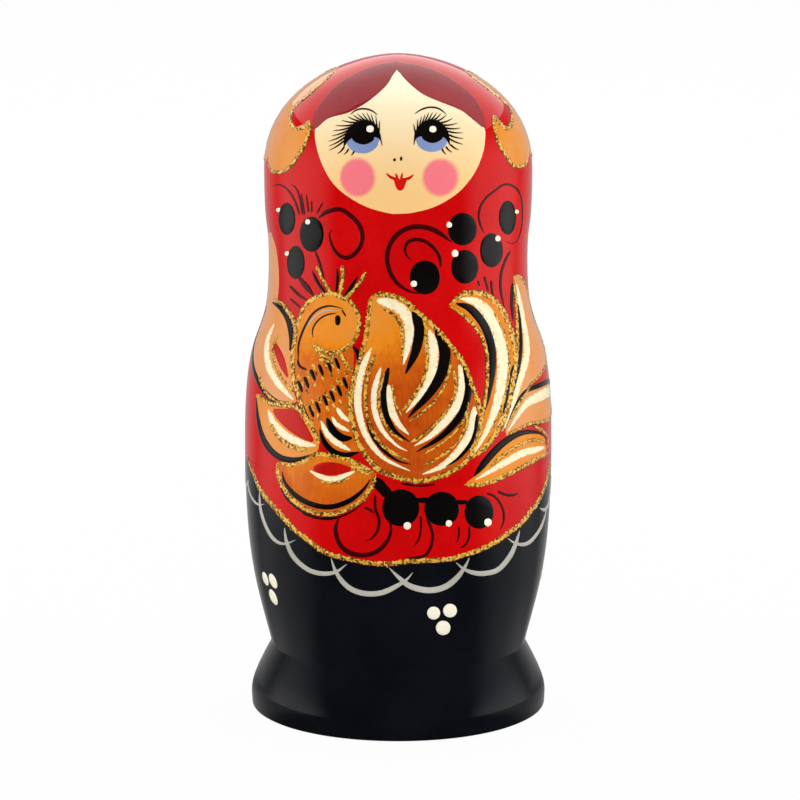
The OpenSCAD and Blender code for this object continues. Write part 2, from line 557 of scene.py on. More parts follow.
shown = pen.node("MixShader", inputs={0: shiny_rays, 1: to_camera, 2: to_lacquer})
output = paper.node_tree.nodes.new("ShaderNodeOutputMaterial")
paper.node_tree.links.new(shown.socket, output.inputs["Surface"])
floor.data.materials.append(paper)
print("floor of", floor_size, "m")

# %% [markdown]
# ## Lacquer and bare wood
# The outside is gouache under several coats of clear lacquer. The lacquer is the Principled shader's
# coat, smooth and clear, and the paint under it varies a little as brushed paint does. Inside, and on
# the seam and the underside, the limewood is left bare, with fine rings from the turner's gouge.

# %% Start a finish
def new_finish(name, settings):
    """A material, a pen for its nodes, and its shader with plain settings made."""
    material = bpy.data.materials.new(name)
    material.use_nodes = True
    shader = material.node_tree.nodes["Principled BSDF"]
    for socket, value in settings.items():
        shader.inputs[socket].default_value = value
    return material, Wire(material.node_tree), shader


def feed(shader, socket, wire):
    wire.tree.links.new(wire.socket, shader.inputs[socket])


lacquer_coat = {"Coat Weight": 1.0, "Coat Roughness": 0.035, "Coat IOR": 1.36,
                "Specular IOR Level": 0.0}
cloud_share = 0.7
fine_brush = 6
brush_contrast = (0.3, 0.7)
lacquer_rough = 0.42
sheen_change = 0.2


def lacquered(name, deep, bright, brush=220.0, dents=0.05):
    """Brushed paint in two close colours under clear lacquer."""
    material, pen, shader = new_finish(name, lacquer_coat)
    place = pen.node("TexCoord", out="Object")
    cloud = pen.node("TexNoise",
                     inputs={"Vector": place, "Scale": 45.0, "Detail": 4.0, "Roughness": 0.6})
    fine = pen.node("TexNoise", inputs={"Vector": place, "Scale": brush * fine_brush, "Detail": 3.0})
    brushed = cloud * cloud_share + fine * (1 - cloud_share)
    feed(shader, "Base Color", brushed.ease(*brush_contrast).blend(deep, bright))
    feed(shader, "Roughness", lacquer_rough + fine * sheen_change - sheen_change / 2)
    swell = pen.node("TexNoise", inputs={"Vector": place, "Scale": brush, "Detail": 2.0})
    feed(shader, "Normal",
         pen.node("Bump", inputs={"Strength": dents, "Distance": 0.0004, "Height": swell}))
    return material


red_lacquer = lacquered("red_lacquer", tint(194, 4, 6), tint(214, 12, 14))
black_lacquer = lacquered("black_lacquer", tint(8, 10, 14), tint(16, 18, 24))
print("lacquers:", red_lacquer.name, black_lacquer.name)

# %% Bare limewood
stain_share = 0.4
gouge_share = 0.5
wood_rough = 0.5
wood_rough_change = 0.25
limewood, pen, shader = new_finish("bare_limewood", {"Specular IOR Level": 0.3})
place = pen.node("TexCoord", out="Object")
along = pen.node("Mapping", inputs={"Vector": place, "Scale": (420.0, 420.0, 26.0)})
grain = pen.node("TexNoise", inputs={"Vector": along, "Scale": 1.0, "Detail": 6.0, "Roughness": 0.65})
patchy = pen.node("TexNoise", inputs={"Vector": place, "Scale": 60.0, "Detail": 3.0})
woods = [(0.3, tint(188, 142, 92)), (0.52, tint(221, 184, 134)), (0.75, tint(236, 207, 163))]
pale_wood = pen.node("ValToRGB", {"stops": woods}, {0: grain})
feed(shader, "Base Color", (patchy * stain_share).blend(pale_wood, tint(214, 170, 118)))
gouge = pen.node("TexWave", {"bands_direction": "Z"},
                 {"Vector": place, "Scale": 420.0, "Distortion": 1.2}, "Fac")
feed(shader, "Roughness", wood_rough + grain * wood_rough_change)
ridges = gouge * gouge_share + grain
feed(shader, "Normal",
     pen.node("Bump", inputs={"Strength": 0.25, "Distance": 0.0002, "Height": ridges}))
print("wood nodes:", len(limewood.node_tree.nodes))

# %% Paint the shells
bare_depth = 0.2 * mm
bare_slot = 1
crown_slot = 2
for shell, doll, half in shells:
    skin = doll[half + "_skin"]
    skin = skin[np.argsort(skin[:, 1])]
    ground = red_lacquer if half == "upper" else black_lacquer
    for finish in (ground, limewood, red_lacquer):
        shell.data.materials.append(finish)
    for face in shell.data.polygons:
        radius = math.hypot(face.center.x, face.center.y)
        skin_radius = np.interp(face.center.z, skin[:, 1], skin[:, 0])
        if radius < skin_radius - bare_depth * doll["scale"]:
            face.material_index = bare_slot
        elif not doll["hollow"] and face.center.z > doll["seam"]:
            face.material_index = crown_slot
    "red_lacquer" if half == "upper" else "black_lacquer"
print("shells painted:", len(shells))

# %% [markdown]
# ## Brush marks
# The painting is thick gouache, so each mark stands a little proud of the skin and has a soft edge.
# A mark is a small grid: its rows follow the brush, its columns go across it, and the outer columns
# sink into the skin. Drawing the marks as a flat image on the doll would be quicker, but then they
# would have no body, and the light would run over them as if they weren't there.

# %% Tools for marks
brush_across = np.array((-1.0, -0.8, -0.3, 0.3, 0.8, 1.0))
brush_height = np.array((0.0, 0.85, 1.0, 1.0, 0.85, 0.0))
gilt_across = np.array((-1.0, -0.78, -0.4, 0.0, 0.4, 0.78, 1.0))
gilt_height = np.array((0.0, 0.8, 1.0, 1.0, 1.0, 0.8, 0.0))
luck = np.random.default_rng(20)
pixels_per_metre = 3900
most_spread = 1.8
trace_pace = 1.0
fine_pace = 2.0
stroke_rows = 9
plain_tips = (0.35, 0.35)
tip_least = 0.02
tip_round = 0.75
grain_least = 0.5


def evenly(line, count):
    """A line cut into even steps."""
    length = lengths_along(line)
    spots = np.linspace(0, length[-1], count)
    return np.column_stack([np.interp(spots, length, line[:, i]) for i in range(2)])


def mark(angle, arc, height, tone, edge):
    """A grid of places on the doll, with the height of the paint and two values for its finish."""
    return {"angle": angle, "arc": arc, "height": height, "tone": np.broadcast_to(tone, angle.shape),
            "edge": np.broadcast_to(edge, angle.shape)}


def kept_narrow(middle, side, reach):
    """Places beside a line, drawn in where they spread because sight grazes the doll."""
    angle = middle[0][:, None]
    arc = middle[1][:, None]
    turn = side[0].reshape(reach.shape) - angle
    climb = side[1].reshape(reach.shape) - arc
    spread = np.hypot(turn * radius_at(arc), climb)
    allowed = most_spread * np.abs(reach) / pixels_per_metre
    share = np.minimum(1, allowed / np.maximum(spread, least_length))
    return angle + turn * share, arc + climb * share


def stroke(line, width, tips=plain_tips, pace=3.0, rough=0.0, in_picture=True):
    """A brush stroke along a line in the picture or round the doll, thinned towards its tips."""
    across, profile = (gilt_across, gilt_height) if rough else (brush_across, brush_height)
    path = through(line, trace_pace)
    if not in_picture:
        arc = arc_at(path[:, 1])
        middle_radius = radius_at(arc).mean()
        path = np.column_stack((np.radians(path[:, 0]) * middle_radius, arc)) * pixels_per_metre
    length = np.linalg.norm(np.diff(path, axis=0), axis=1).sum()
    path = evenly(path, max(stroke_rows, int(length / pace) + 1))
    run = np.gradient(path, axis=0)
    side = np.column_stack((-run[:, 1], run[:, 0])) / np.linalg.norm(run, axis=1, keepdims=True)
    share = np.linspace(0, 1, len(path))
    half = np.full(len(path), width / 2)
    for tip, from_end in ((tips[0], share), (tips[1], 1 - share)):
        if tip:
            half *= np.sin(np.clip(from_end / tip, tip_least, 1) * math.pi / 2) ** tip_round
    reach = half[:, None] * across[None, :]
    height = np.tile(profile, (len(path), 1))
    if rough:
        reach = reach * (1 + rough * luck.normal(size=reach.shape))
        height = height * (grain_least + (1 - grain_least) * luck.random(size=height.shape))
    height[0] = 0
    height[-1] = 0
    grid = path[:, None, :] + side[:, None, :] * reach[:, :, None]
    if in_picture:
        angle, arc = kept_narrow(seen(path), seen(grid), reach)
    else:
        angle = grid[..., 0] / pixels_per_metre / middle_radius
        arc = grid[..., 1] / pixels_per_metre
    return mark(angle, arc, height, share[:, None], np.abs(across)[None, :])


gilt_pace = 1.4
gilt_grain = 0.28


def gilt(line, width, tips, in_picture=True):
    """A line of grainy gold paint."""
    return stroke(line, width, tips, gilt_pace, gilt_grain, in_picture)


daub_edge = 0.06
daub_dome = 0.15
round_rows = 25


def disc(centre, across, up=None, count=13):
    """A round daub, such as a berry or a dot."""
    sweep = -np.cos(np.linspace(0, math.pi, count))
    rows = sweep[:, None] * np.ones(len(brush_across))
    columns = np.sqrt(np.maximum(0, 1 - sweep ** 2))[:, None] * brush_across[None, :]
    out = np.hypot(rows, columns)
    pixels = np.stack((centre[0] + rows * across, centre[1] + columns * (up or across)), axis=-1)
    angle, arc = seen(pixels)
    height = np.clip((1 - out) / daub_edge, 0, 1) * (1 - daub_dome * out ** 2)
    return mark(angle.reshape(out.shape), arc.reshape(out.shape), height, 0.5, out)


def rail(points, count, in_picture):
    """Even places along an edge, as angle and length along the outline."""
    line = through(points, trace_pace)
    if in_picture:
        return seen(evenly(line, count))
    angle = np.radians(line[:, 0])
    arc = arc_at(line[:, 1])
    steps = np.hypot(np.diff(angle) * radius_at(arc)[1:], np.diff(arc))
    length = np.append(0, np.cumsum(steps))
    spots = np.linspace(0, length[-1], count)
    return np.interp(spots, length, angle), np.interp(spots, length, arc)


trial_rows = 10
patch_rows = 8
patch_columns = 3
widest_rim = 0.2


def patch(first, second, tones=(0.5, 0.5), pace=1.2, in_picture=(True, True), ends=(0, 0),
          change=(0.12, 0.5), rim=0.25):
    """A filled shape between two edges, each drawn in the picture or round the doll.

    The tones are those of the two edges where they start, and then where they end if that differs.
    They change over a stretch of the edges' length. The first trial only measures the shape, which
    gives the number of rows for the second.
    """
    count = trial_rows
    for trial in range(2):
        a = rail(first, count, in_picture[0])
        b = rail(second, count, in_picture[1])
        radius = radius_at(a[1]) / mm
        wide = np.hypot((b[0] - a[0]) * radius, (b[1] - a[1]) / mm).max()
        run = np.hypot(np.diff(a[0]) * radius[1:], np.diff(a[1]) / mm).sum()
        other = np.hypot(np.diff(b[0]) * radius[1:], np.diff(b[1]) / mm).sum()
        count = max(patch_rows, int(max(run, other) / pace) + 1)
    columns = np.linspace(0, 1, max(patch_columns, int(wide / pace) + 2))
    rim = min(rim / max(wide, rim), widest_rim)
    columns = np.concatenate(([0], np.clip(columns, rim, 1 - rim), [1]))
    height = np.ones((len(a[0]), len(columns)))
    height[:, 0] = 0
    height[:, -1] = 0
    height[0] *= ends[0]
    height[-1] *= ends[1]
    along = np.linspace(0, 1, len(a[0]))
    share = np.clip((along - change[0]) / (change[1] - change[0]), 0, 1)[:, None]
    begun = tones[0] + (tones[1] - tones[0]) * columns[None, :]
    ended = tones[-2] + (tones[-1] - tones[-2]) * columns[None, :]
    return mark(a[0][:, None] + (b[0] - a[0])[:, None] * columns[None, :],
                a[1][:, None] + (b[1] - a[1])[:, None] * columns[None, :], height,
                begun + (ended - begun) * share ** 2 * (3 - 2 * share),
                np.abs(2 * columns - 1)[None, :])


def thinner(made, share):
    """A mark in thinner paint, which another can lie over."""
    made["height"] = made["height"] * share
    return made


lifts = {"apron": 0.03, "face": 0.04, "hair": 0.06, "orange": 0.05, "leaf": 0.075, "blue": 0.10,
         "lips": 0.08, "shade": 0.09, "cream": 0.11, "stem": 0.12, "black": 0.13, "lace": 0.15,
         "white": 0.18, "gold": 0.22}
# The painted shadow line under each gold stroke is this much wider than the gold
gold_shadow_margin = 1.3
gilt_tips = (0.1, 0.1)
gold_shadow_pace = 2.5
gold_shadow_grain = 0.08
painting = {colour: [] for colour in lifts}


def lay(colour, *marks):
    painting[colour].extend(marks)


def lay_strokes(colour, strokes, tips=None, in_picture=True):
    """Strokes given as (line, width) under a name for each. Gold gets a dark line under its edges, a
    painted shadow.
    """
    for line, width in strokes.values():
        if colour == "gold":
            lay("gold", gilt(line, width, tips or gilt_tips, in_picture))
            # Painted shadow: a dark brown line a little wider than the gold, under it
            lay("shade", stroke(line, width + gold_shadow_margin, tips or gilt_tips, gold_shadow_pace, gold_shadow_grain,
                                in_picture))
        else:
            lay(colour, stroke(line, width, tips or plain_tips, in_picture=in_picture))


print("paint layers:", len(painting))

# %% [markdown]
# ## The face
# The face is an ivory oval with a warm lower half, painted paler towards the top as painted light from
# above, with soft pink cheeks and dark hair parted in the middle.
# It is one patch between its left and right edges. The blush isn't a shape of its own: it fades out, so
# it goes into the patch as a value at each vertex that the finish reads. Eyes, lashes, nose and mouth
# are strokes and daubs on top.

# %% Face and hair
face_left = [(396, 67), (389, 81), (381, 90), (366, 102), (348, 112), (330, 117), (316, 125),
             (314, 136), (317, 152), (323, 168), (332, 183), (345, 195), (366, 207),
             (389, 213.5), (397, 214)]
face_right = [(396.5, 67), (403, 76), (412, 85), (424, 94), (440, 101), (458, 108), (474, 117),
              (485, 127), (486, 138), (484, 152), (478, 168), (469, 182), (456, 195), (435, 207),
              (412, 213), (398, 214)]
face_pace = 0.9
face = patch(face_left, face_right, pace=face_pace)
cheeks = {"left": ((357, 177.5), 18.6, 19.8), "right": ((441, 177.5), 18.0, 19.4)}
shape = face["angle"].shape
blush = np.zeros(shape)
blush_reach = 1.1
blush_fade = 0.26
for (x, y), across, up in cheeks.values():
    mid_angle, mid_arc = seen([(x, y)])
    edge_angle, edge_arc = seen([(x + across, y), (x, y + up)])
    out = np.hypot((face["angle"] - mid_angle) / (edge_angle[0] - mid_angle),
                   (face["arc"] - mid_arc) / (edge_arc[1] - mid_arc))
    blush = np.maximum(blush, np.clip((blush_reach - out) / blush_fade, 0, 1))
face["tone"] = blush
# The edge value carries height on the face, for the painted light that makes its top paler
face["edge"] = (face["arc"] - face["arc"].min()) / (face["arc"].max() - face["arc"].min())
lay("face", face)
hair_left = ([(398, 60.5), (380, 62.5), (358, 70), (338, 82), (324, 96), (315, 110), (311, 129)],
             [(398, 68), (389, 81.5), (381, 91), (366, 103), (348, 112.5), (330, 117.5), (314, 130)])
hair_right = ([(395, 60.5), (415, 63), (434, 68), (453, 78), (469, 90), (481, 105), (487, 128)],
              [(395, 68), (403, 76.5), (412, 86), (424, 95), (440, 102), (458, 109), (485, 129)])
hair_rim = 0.8
for edges in (hair_left, hair_right):
    lay("hair", patch(*edges, ends=(1, 0), rim=hair_rim))
print("face patch", shape, "vertices")

# %% Eyes
eyes = {
    "left": {"pupil": ((363, 133.2), 13.2), "blue": ((362.3, 138), 17.4), "glint": ((370, 128.7), 4.1),
             "lid": [(343, 147), (344.5, 135.5), (350.5, 125), (361, 119), (371.5, 120.5), (379, 129),
                     (382.5, 146)],
             "lid under": [(343.5, 147.5), (347.5, 141.5), (353, 138), (362, 137), (372, 137),
                           (379, 139), (382.2, 146.5)],
             "brow": [(349, 115), (356, 109.5), (364, 108.2), (372, 110.3), (378.4, 115.6)],
             "lashes": [(327.5, 151), (327.5, 146.5), (327, 141.5), (330, 136), (331.5, 130.5),
                        (334, 125), (340, 119.5), (346, 115.5), (351.5, 113.5), (356, 112.3),
                        (361, 111.5), (366, 111), (370.5, 112.2), (375.5, 113.6), (379.5, 119)],
             "under": [(336.5, 154), (343, 154.6), (350, 155.6)],
             "under roots": [(341.5, 147.5), (346.5, 150), (353, 152.5)]},
    "right": {"pupil": ((432.6, 132.4), 12.4), "blue": ((432, 137), 16.8), "glint": ((433, 129), 3.9),
              "lid": [(413.6, 145), (415, 132), (420.6, 123.6), (431.5, 118.2), (442, 122),
                      (448.4, 131), (450.5, 145)],
              "lid under": [(414, 145.5), (416.5, 138.5), (422, 136.5), (432, 136), (441, 136.5),
                            (446.5, 139.6), (450, 145.5)],
              "brow": [(413.7, 114.2), (421, 109.3), (430, 106.7), (439.5, 108.3), (447.6, 114.8)],
              "lashes": [(413.5, 122.5), (418, 117.5), (421.8, 115), (425.7, 112.8), (429.5, 111),
                         (433.4, 111), (437.6, 111.6), (442, 112.4), (447.5, 114), (454, 117.5),
                         (459, 122.5), (462, 127.5), (464.5, 132.5), (465, 138.5), (464.5, 144.5)],
              "under": [(460, 150), (453, 152.5), (447, 154.6)],
              "under roots": [(453, 145), (448, 147.5), (443.5, 150)]},
}
lid_pace = 0.5
bare_lid = 2
brow_width = 1.9
lash_width = 2.1
lash_start = 0.14
lash_sag = (0.0, 1.0)
lash_tips = (0, 0.9)
for eye in eyes.values():
    lay("blue", disc(*eye["blue"], count=round_rows))
    lay("black", disc(*eye["pupil"], count=round_rows),
        patch(eye["lid"], eye["lid under"], pace=lid_pace), stroke(eye["brow"], brow_width))
    lay("white", disc(*eye["glint"]))
    lid = evenly(through(eye["lid"], trace_pace), len(eye["lashes"]) + 2 * bare_lid)[bare_lid:-bare_lid]
    for root, tip in list(zip(lid, eye["lashes"])) + list(zip(eye["under roots"], eye["under"])):
        tip = np.array(tip)
        root = np.array(root) + lash_start * (eye["blue"][0] - np.array(root))
        middle = 0.5 * (root + tip) + lash_sag
        lay("black", stroke([root, middle, tip], lash_width, lash_tips, fine_pace))
print("eye marks:", len(painting["black"]))

# %% Nose and mouth
nostrils = {"left": ((394.5, 159.8), 1.5, 1.7), "right": ((401.2, 158.6), 1.3, 2.6)}
nostril_rows = 9
for centre, across, up in nostrils.values():
    lay("black", disc(centre, across, up, count=nostril_rows))
upper_lip = {
    "left": ([(385.6, 172.6), (390, 176.8), (397, 179.6)], 3.8),
    "right": ([(414.4, 174), (409.6, 178), (403, 180)], 3.8),
    "left peak": ([(395.4, 172.8), (396.6, 176), (398, 179.5)], 3.0),
    "right peak": ([(402.6, 172.4), (401.8, 176), (401, 179.5)], 3.0),
}
lip_tips = (0.7, 0.05)
lip_pace = 1.0
lip_fill_pace = 0.4
for line, width in upper_lip.values():
    lay("lips", stroke(line, width, lip_tips, lip_pace))
lower_lip = ([(393.4, 178.4), (397, 177.4), (400, 178.4), (403, 177.4), (407, 178.6)],
             [(393.4, 179.2), (395, 185.4), (397, 190), (400.3, 191.6), (403.4, 190), (405.4, 185.4),
              (407, 179.4)])
lay("lips", patch(*lower_lip, pace=lip_fill_pace))
print("lip marks:", len(painting["lips"]))

# %% [markdown]
# ## Petals at the temples
# A large orange flower sits on each side of the kerchief, with one more petal at the left shoulder.
# They wrap round past what one view shows. So each petal is a patch with one edge drawn in the picture
# and the other drawn round the doll, in degrees and millimetres. The lobe below each flower has both
# edges drawn in the picture. Grainy gold traces the flowers' edges.

# %% Petals
left_petal_inner = [(339, 66), (327, 77), (309, 93), (294, 106), (289, 118), (290.5, 127)]
left_petal_outer = [(-84, 166.7), (-99, 165.5), (-113, 161.5), (-119, 156), (-115, 149.5),
                    (-104, 145.5), (-92, 143.5), (-78, 143.4)]
left_lobe_inner = [(309, 119), (308.5, 130), (305, 142), (299.5, 152), (292, 163), (284, 170.5),
                   (276, 172.5)]
left_lobe_outer = [(298, 127), (289, 127), (280, 128), (272, 133), (268, 145), (267, 160), (270, 170)]
right_petal_inner = [(465.5, 70), (477, 79), (494, 92), (505, 101), (511, 108), (513, 117), (512, 127)]
right_petal_outer = [(82, 165.8), (98, 165), (113, 161.5), (119, 156), (115, 149.5), (104, 145.5),
                     (93, 144), (81, 145)]
right_lobe_inner = [(493.4, 114), (495, 126), (498, 137.5), (502.3, 148), (508.6, 158), (514, 165),
                    (521, 166.5)]
right_lobe_outer = [(506, 129), (513, 128), (520, 129), (526, 134), (530, 144), (530, 156), (526, 165)]
petal_tones = (0.16, 0.02)
petal_pace = 1.0
petal_body = 0.85
half_hidden = (True, False)
left_petal = patch(left_petal_inner, left_petal_outer, petal_tones, petal_pace, half_hidden)
right_petal = patch(right_petal_inner, right_petal_outer, petal_tones, petal_pace, half_hidden)
lay("orange", thinner(left_petal, petal_body), patch(left_lobe_inner, left_lobe_outer, (0.3, 0.05)),
    thinner(right_petal, petal_body), patch(right_lobe_inner, right_lobe_outer, (0.34, 0.16)))
petal_gold = {
    "left top": (left_petal_inner, 4.0),
    "left lobe": (left_lobe_inner + [(270.5, 170.5), (267, 164)], 3.2),
    "left notch": ([(289, 122), (295, 128.5), (303, 126.5), (309, 119.5)], 3.7),
    "right top": (right_petal_inner, 4.0),
    "right lobe": (right_lobe_inner + [(526, 164.5), (529.5, 158)], 3.2),
    "right notch": ([(513, 121), (509, 128.5), (502, 124.5), (494, 114.5)], 3.7),
}
lay_strokes("gold", petal_gold)
lay_strokes("gold", {"left": (left_petal_outer, 3.8), "right": (right_petal_outer, 3.8)},
            in_picture=False)
side_petal_inner = [(270, 232), (275.5, 250), (278, 275), (276.5, 300), (268, 330)]
side_petal_outer = [(-74.1, 125.5), (-86, 123.5), (-96, 117.5), (-100, 110), (-95, 103), (-84, 99.5),
                    (-68.7, 101)]
side_petal = patch(side_petal_inner, side_petal_outer, (0.0, 0.1), in_picture=half_hidden)
lay("orange", thinner(side_petal, petal_body))
print("petals:", len(painting["orange"]))

# %% [markdown]
# ## Berries and tendrils
# Black berries with a white highlight hang in bunches on curling stems, on the shoulders and on the
# apron. A berry is a daub, and a stem is one long stroke that swells and thins, which is what makes
# folk brushwork look quick and sure.

# %% Berries and stems
berries = {
    "left one": ((286, 219), 8.5, 16.5, (277.5, 210), 2.0),
    "left two": ((311, 234.5), 12, 18, (307.3, 222), 2.7),
    "left three": ((295, 262.6), 9, 17, (286.3, 253.7), 2.2),
    "right curl": ((425.2, 277.6), 15.3, 17.4, (414, 283.8), 3.3),
    "right one": ((463, 229.3), 14.5, 16.7, (449.6, 225), 2.9),
    "right two": ((465.4, 266.9), 13.7, 17.3, (455.5, 253.7), 3.4),
    "right three": ((492.2, 250.6), 11.5, 17.3, (498.4, 238.8), 2.9),
    "right four": ((508.5, 217.8), 8.8, 17.4, (517.4, 211.8), 2.0),
    "apron one": ((400.8, 508), 18.8, 19.8, (407.3, 525.8), 3.8),
    "apron two": ((442, 509), 17.8, 18.2, (449, 523.4), 3.3),
    "apron three": ((479.5, 512.3), 14.8, 17.8, (488.3, 522.4), 4.0),
}
berry_growth = 1.02
spot_height = 1.12
for centre, across, up, spot, spot_size in berries.values():
    lay("black", disc(centre, across * berry_growth, up * berry_growth, count=round_rows))
    lay("white", disc(spot, spot_size, spot_size * spot_height))
tendrils = {
    "left fern one": ([(299, 216), (294, 201), (287, 190), (278, 184.5), (270, 187)], 2.2),
    "left fern two": ([(302, 216), (299, 198), (295, 188), (289, 184)], 2.0),
    "left fern three": ([(304, 216), (302, 203), (300, 192)], 1.8),
    "left fern four": ([(308, 213), (305.5, 194)], 1.8),
    "left fern five": ([(311, 213), (311, 200)], 1.6),
    "left fern six": ([(316, 214), (322.5, 202)], 1.8),
    "left curl": ([(317, 219), (326, 212), (339, 209.5), (349, 215), (358, 224), (362, 235), (360, 246),
                   (353, 255), (344, 258), (335, 252), (330, 241), (329, 233), (333, 229)], 5.0),
    "left stem": ([(314, 250), (318.5, 262), (322, 275), (324.5, 290)], 2.8),
    "left leaf two": ([(288, 285), (298, 295), (308, 301)], 3.2),
    "left leaf three": ([(289, 298), (301, 309)], 2.4),
    "right curl": ([(453, 243), (444, 236), (433, 229.8), (422, 227), (411, 227.6), (401.5, 231.6),
                    (393.3, 239.2), (388.2, 249.2), (386.9, 260), (389.6, 271.4), (396.2, 282.3),
                    (404.5, 288.8), (413, 292.5), (425, 294)], 5.2),
    "right spiral": ([(441.2, 268), (440.4, 258.4), (436.6, 251), (429.4, 244.2), (422.4, 240.6),
                      (414, 240), (408, 242.7), (405, 249), (407.2, 256.6), (413, 261.2)], 4.0),
    "right loop": ([(485.3, 234.4), (480.8, 224.3), (479.4, 214.8), (481.6, 205.7), (487.5, 197.2),
                    (496, 190.5), (503, 185.3), (511, 184.8), (518.5, 190), (522.5, 199), (523.4, 213),
                    (522.6, 227), (518.8, 239.5), (512.6, 244), (505, 240.5)], 2.4),
    "right stem": ([(512, 250), (506.4, 260), (502.5, 271.4), (501.2, 283), (502.2, 295),
                    (505.5, 309)], 2.9),
    "right grass one": ([(484.8, 276), (487, 284), (489.3, 292)], 2.6),
    "right grass two": ([(491.8, 279.7), (492.6, 290), (494.3, 299)], 2.6),
    "right grass three": ([(478.4, 280.7), (480.2, 286.4)], 2.2),
    "apron ring": ([(338.4, 517.8), (335, 529), (338.8, 543.6), (349, 552.8), (364, 555.4),
                    (377, 551.6), (387.6, 540.6), (391, 527.4), (386.4, 516.4)], 5.2),
    "apron ring inner": ([(375, 494), (375.2, 508.5), (379, 519.8), (377, 531.6), (371, 539),
                          (364, 541.2)], 3.4),
    "apron ring top": ([(362.4, 507.8), (368.5, 509.2), (374.5, 514)], 2.6),
    "apron tail one": ([(426, 517), (431, 527), (433, 537.6), (429.8, 550), (423, 556.6),
                        (405, 558.6)], 3.6),
    "apron tail two": ([(420.6, 515), (421.2, 527), (418.6, 540.2), (412.8, 547.7)], 2.4),
    "apron tail three": ([(469.8, 525), (469.4, 538), (464.2, 546.4), (459, 548.3)], 2.7),
    "apron tail four": ([(459.2, 525.5), (459.2, 535.6), (456.6, 544.2)], 2.2),
    "apron loop": ([(486, 493), (495.7, 497), (502.8, 507.5), (504.6, 519.6), (500.5, 531)], 2.8),
    "apron dash": ([(497, 490.6), (504.5, 494.3), (512.5, 495.4), (520.5, 493)], 3.2),
    # These two are painted shadows: dark lines under the lower gold edges of the wing and of the lowest
    # feather
    "under the wing": ([(400, 483.5), (419.4, 486), (437, 484.4)], 2.6),
    "under the feather": ([(300, 513), (318, 518.4), (337, 516)], 2.4),
}
stem_tips = (0.12, 0.4)
leaf_tips = (0.6, 0.6)
lay_strokes("stem", tendrils, stem_tips)
berry_leaves = {
    "apron one": ([(372, 477), (381, 487), (393, 500)], 12.0),
    "apron two": ([(414, 500), (424, 500.5), (433, 500)], 6.0),
    "apron three": ([(452, 502), (462, 502.5), (471, 502)], 5.0),
}
lay_strokes("black", berry_leaves)
lay_strokes("stem", {"left leaf": ([(296, 275), (305, 286), (314, 297)], 6.4)}, leaf_tips)
print("berries:", len(berries), "tendrils:", len(tendrils))

# %% [markdown]
# ## The bird
# A bright bird with folded wing fills the front, a favourite of lacquer painters. Each feather is an
# orange fill, then long cream and black strokes that follow it, then a grainy gold edge. The layers lie
# on each other in that order, each a few hundredths of a millimetre higher, as the coats do.

# %% Head and breast
bird_head = ([(334, 294), (345, 298), (354, 306), (358.8, 318), (358, 331), (352, 342), (343, 349),
              (331, 352.5)],
             [(332, 294), (319, 295.5), (307, 303), (300.5, 313), (296, 329), (293.4, 342),
              (292.4, 354), (292.4, 368)])
bird_breast = ([(352, 341), (354, 356), (353, 372), (350, 390), (350, 408), (353, 428), (364, 455)],
               [(293, 350), (292, 364), (293, 379), (297, 393), (303, 411), (314, 433), (330, 454)])
breast_body = 0.6
head_change = (0.62, 0.95)
lay("orange", thinner(patch(*bird_breast, (0.78, 0.7)), breast_body),
    patch(*bird_head, (0.36, 0.56, 0.7, 0.72), change=head_change))
bird_gold = {
    "beak": ([(333, 294), (344, 298), (353.5, 306), (358.6, 318), (358, 331), (352, 342), (343, 349),
              (332, 352.5), (321, 349.5), (313, 343)], 3.8),
    "nape": ([(334, 293.5), (319, 295.5), (307, 303), (300.5, 313), (296, 329), (293, 345), (292, 363),
              (293, 379), (297, 393), (303, 411), (311, 427), (318, 442)], 4.0),
    "throat": ([(312, 343), (318, 352), (327, 357), (336, 356)], 3.2),
    "throat low": ([(316, 350), (324, 360), (333, 362)], 2.7),
    "throat right": ([(340, 352), (347, 366), (353, 373)], 3.5),
    "crest left": ([(316, 266), (323, 281), (332, 296)], 3.5),
    "crest middle": ([(342, 265), (342, 280), (339, 296)], 3.5),
    "crest right": ([(366, 272), (356, 287), (345, 299)], 3.5),
    "crest root": ([(328, 292), (338, 296), (346, 299)], 4.8),
}
lay_strokes("gold", bird_gold)
bird_black = {
    "crown": ([(298, 363), (298, 345), (304, 327), (314, 312), (328, 306), (344, 309)], 2.6),
    "crown hook": ([(297, 358), (299, 366), (307, 370)], 2.8),
    "cheek": ([(313, 339), (312, 330), (317, 321), (326, 315), (338, 313)], 2.0),
    "beak line": ([(341, 309), (346, 317)], 2.0),
    "eye": ([(337, 314.5), (337.4, 320), (337, 326)], 6.4),
    "crest left": ([(311, 270), (318, 284), (328, 297)], 3.4),
    "crest middle": ([(336.5, 268), (337, 281), (335, 294)], 3.0),
    "crest right": ([(358, 276), (350, 288), (343, 297)], 3.4),
    "under the cheek": ([(352, 346), (357, 352), (358, 362)], 4.6),
}
lay_strokes("black", bird_black)
lay_strokes("lace", {"crown light": ([(306, 328), (314, 317), (325, 310.5), (340, 310.5)], 1.5)})
dashes = {
    "upper": [(299.5, 386.5), (306, 382.5), (312.5, 375), (320.5, 370), (329, 366.5), (337, 363.5)],
    "lower": [(304.5, 413), (311, 411.5), (317.5, 407.5), (325, 401), (332, 396.5),
              (339, 391), (345, 383)],
}
dash_points = ((-2.6, -6.4), (0, 0), (2.4, 6.4))
dash_width = 3.8
dash_tips = (0.25, 0.4)
fleck_places = ((-4.2, 1.0), (1.5, 9.5), (0.5, -9.0))
fleck_reach = (1.3, 3.2)
fleck_width = 2.6
fleck_growth = 0.4
fleck_tips = (0.4, 0.4)
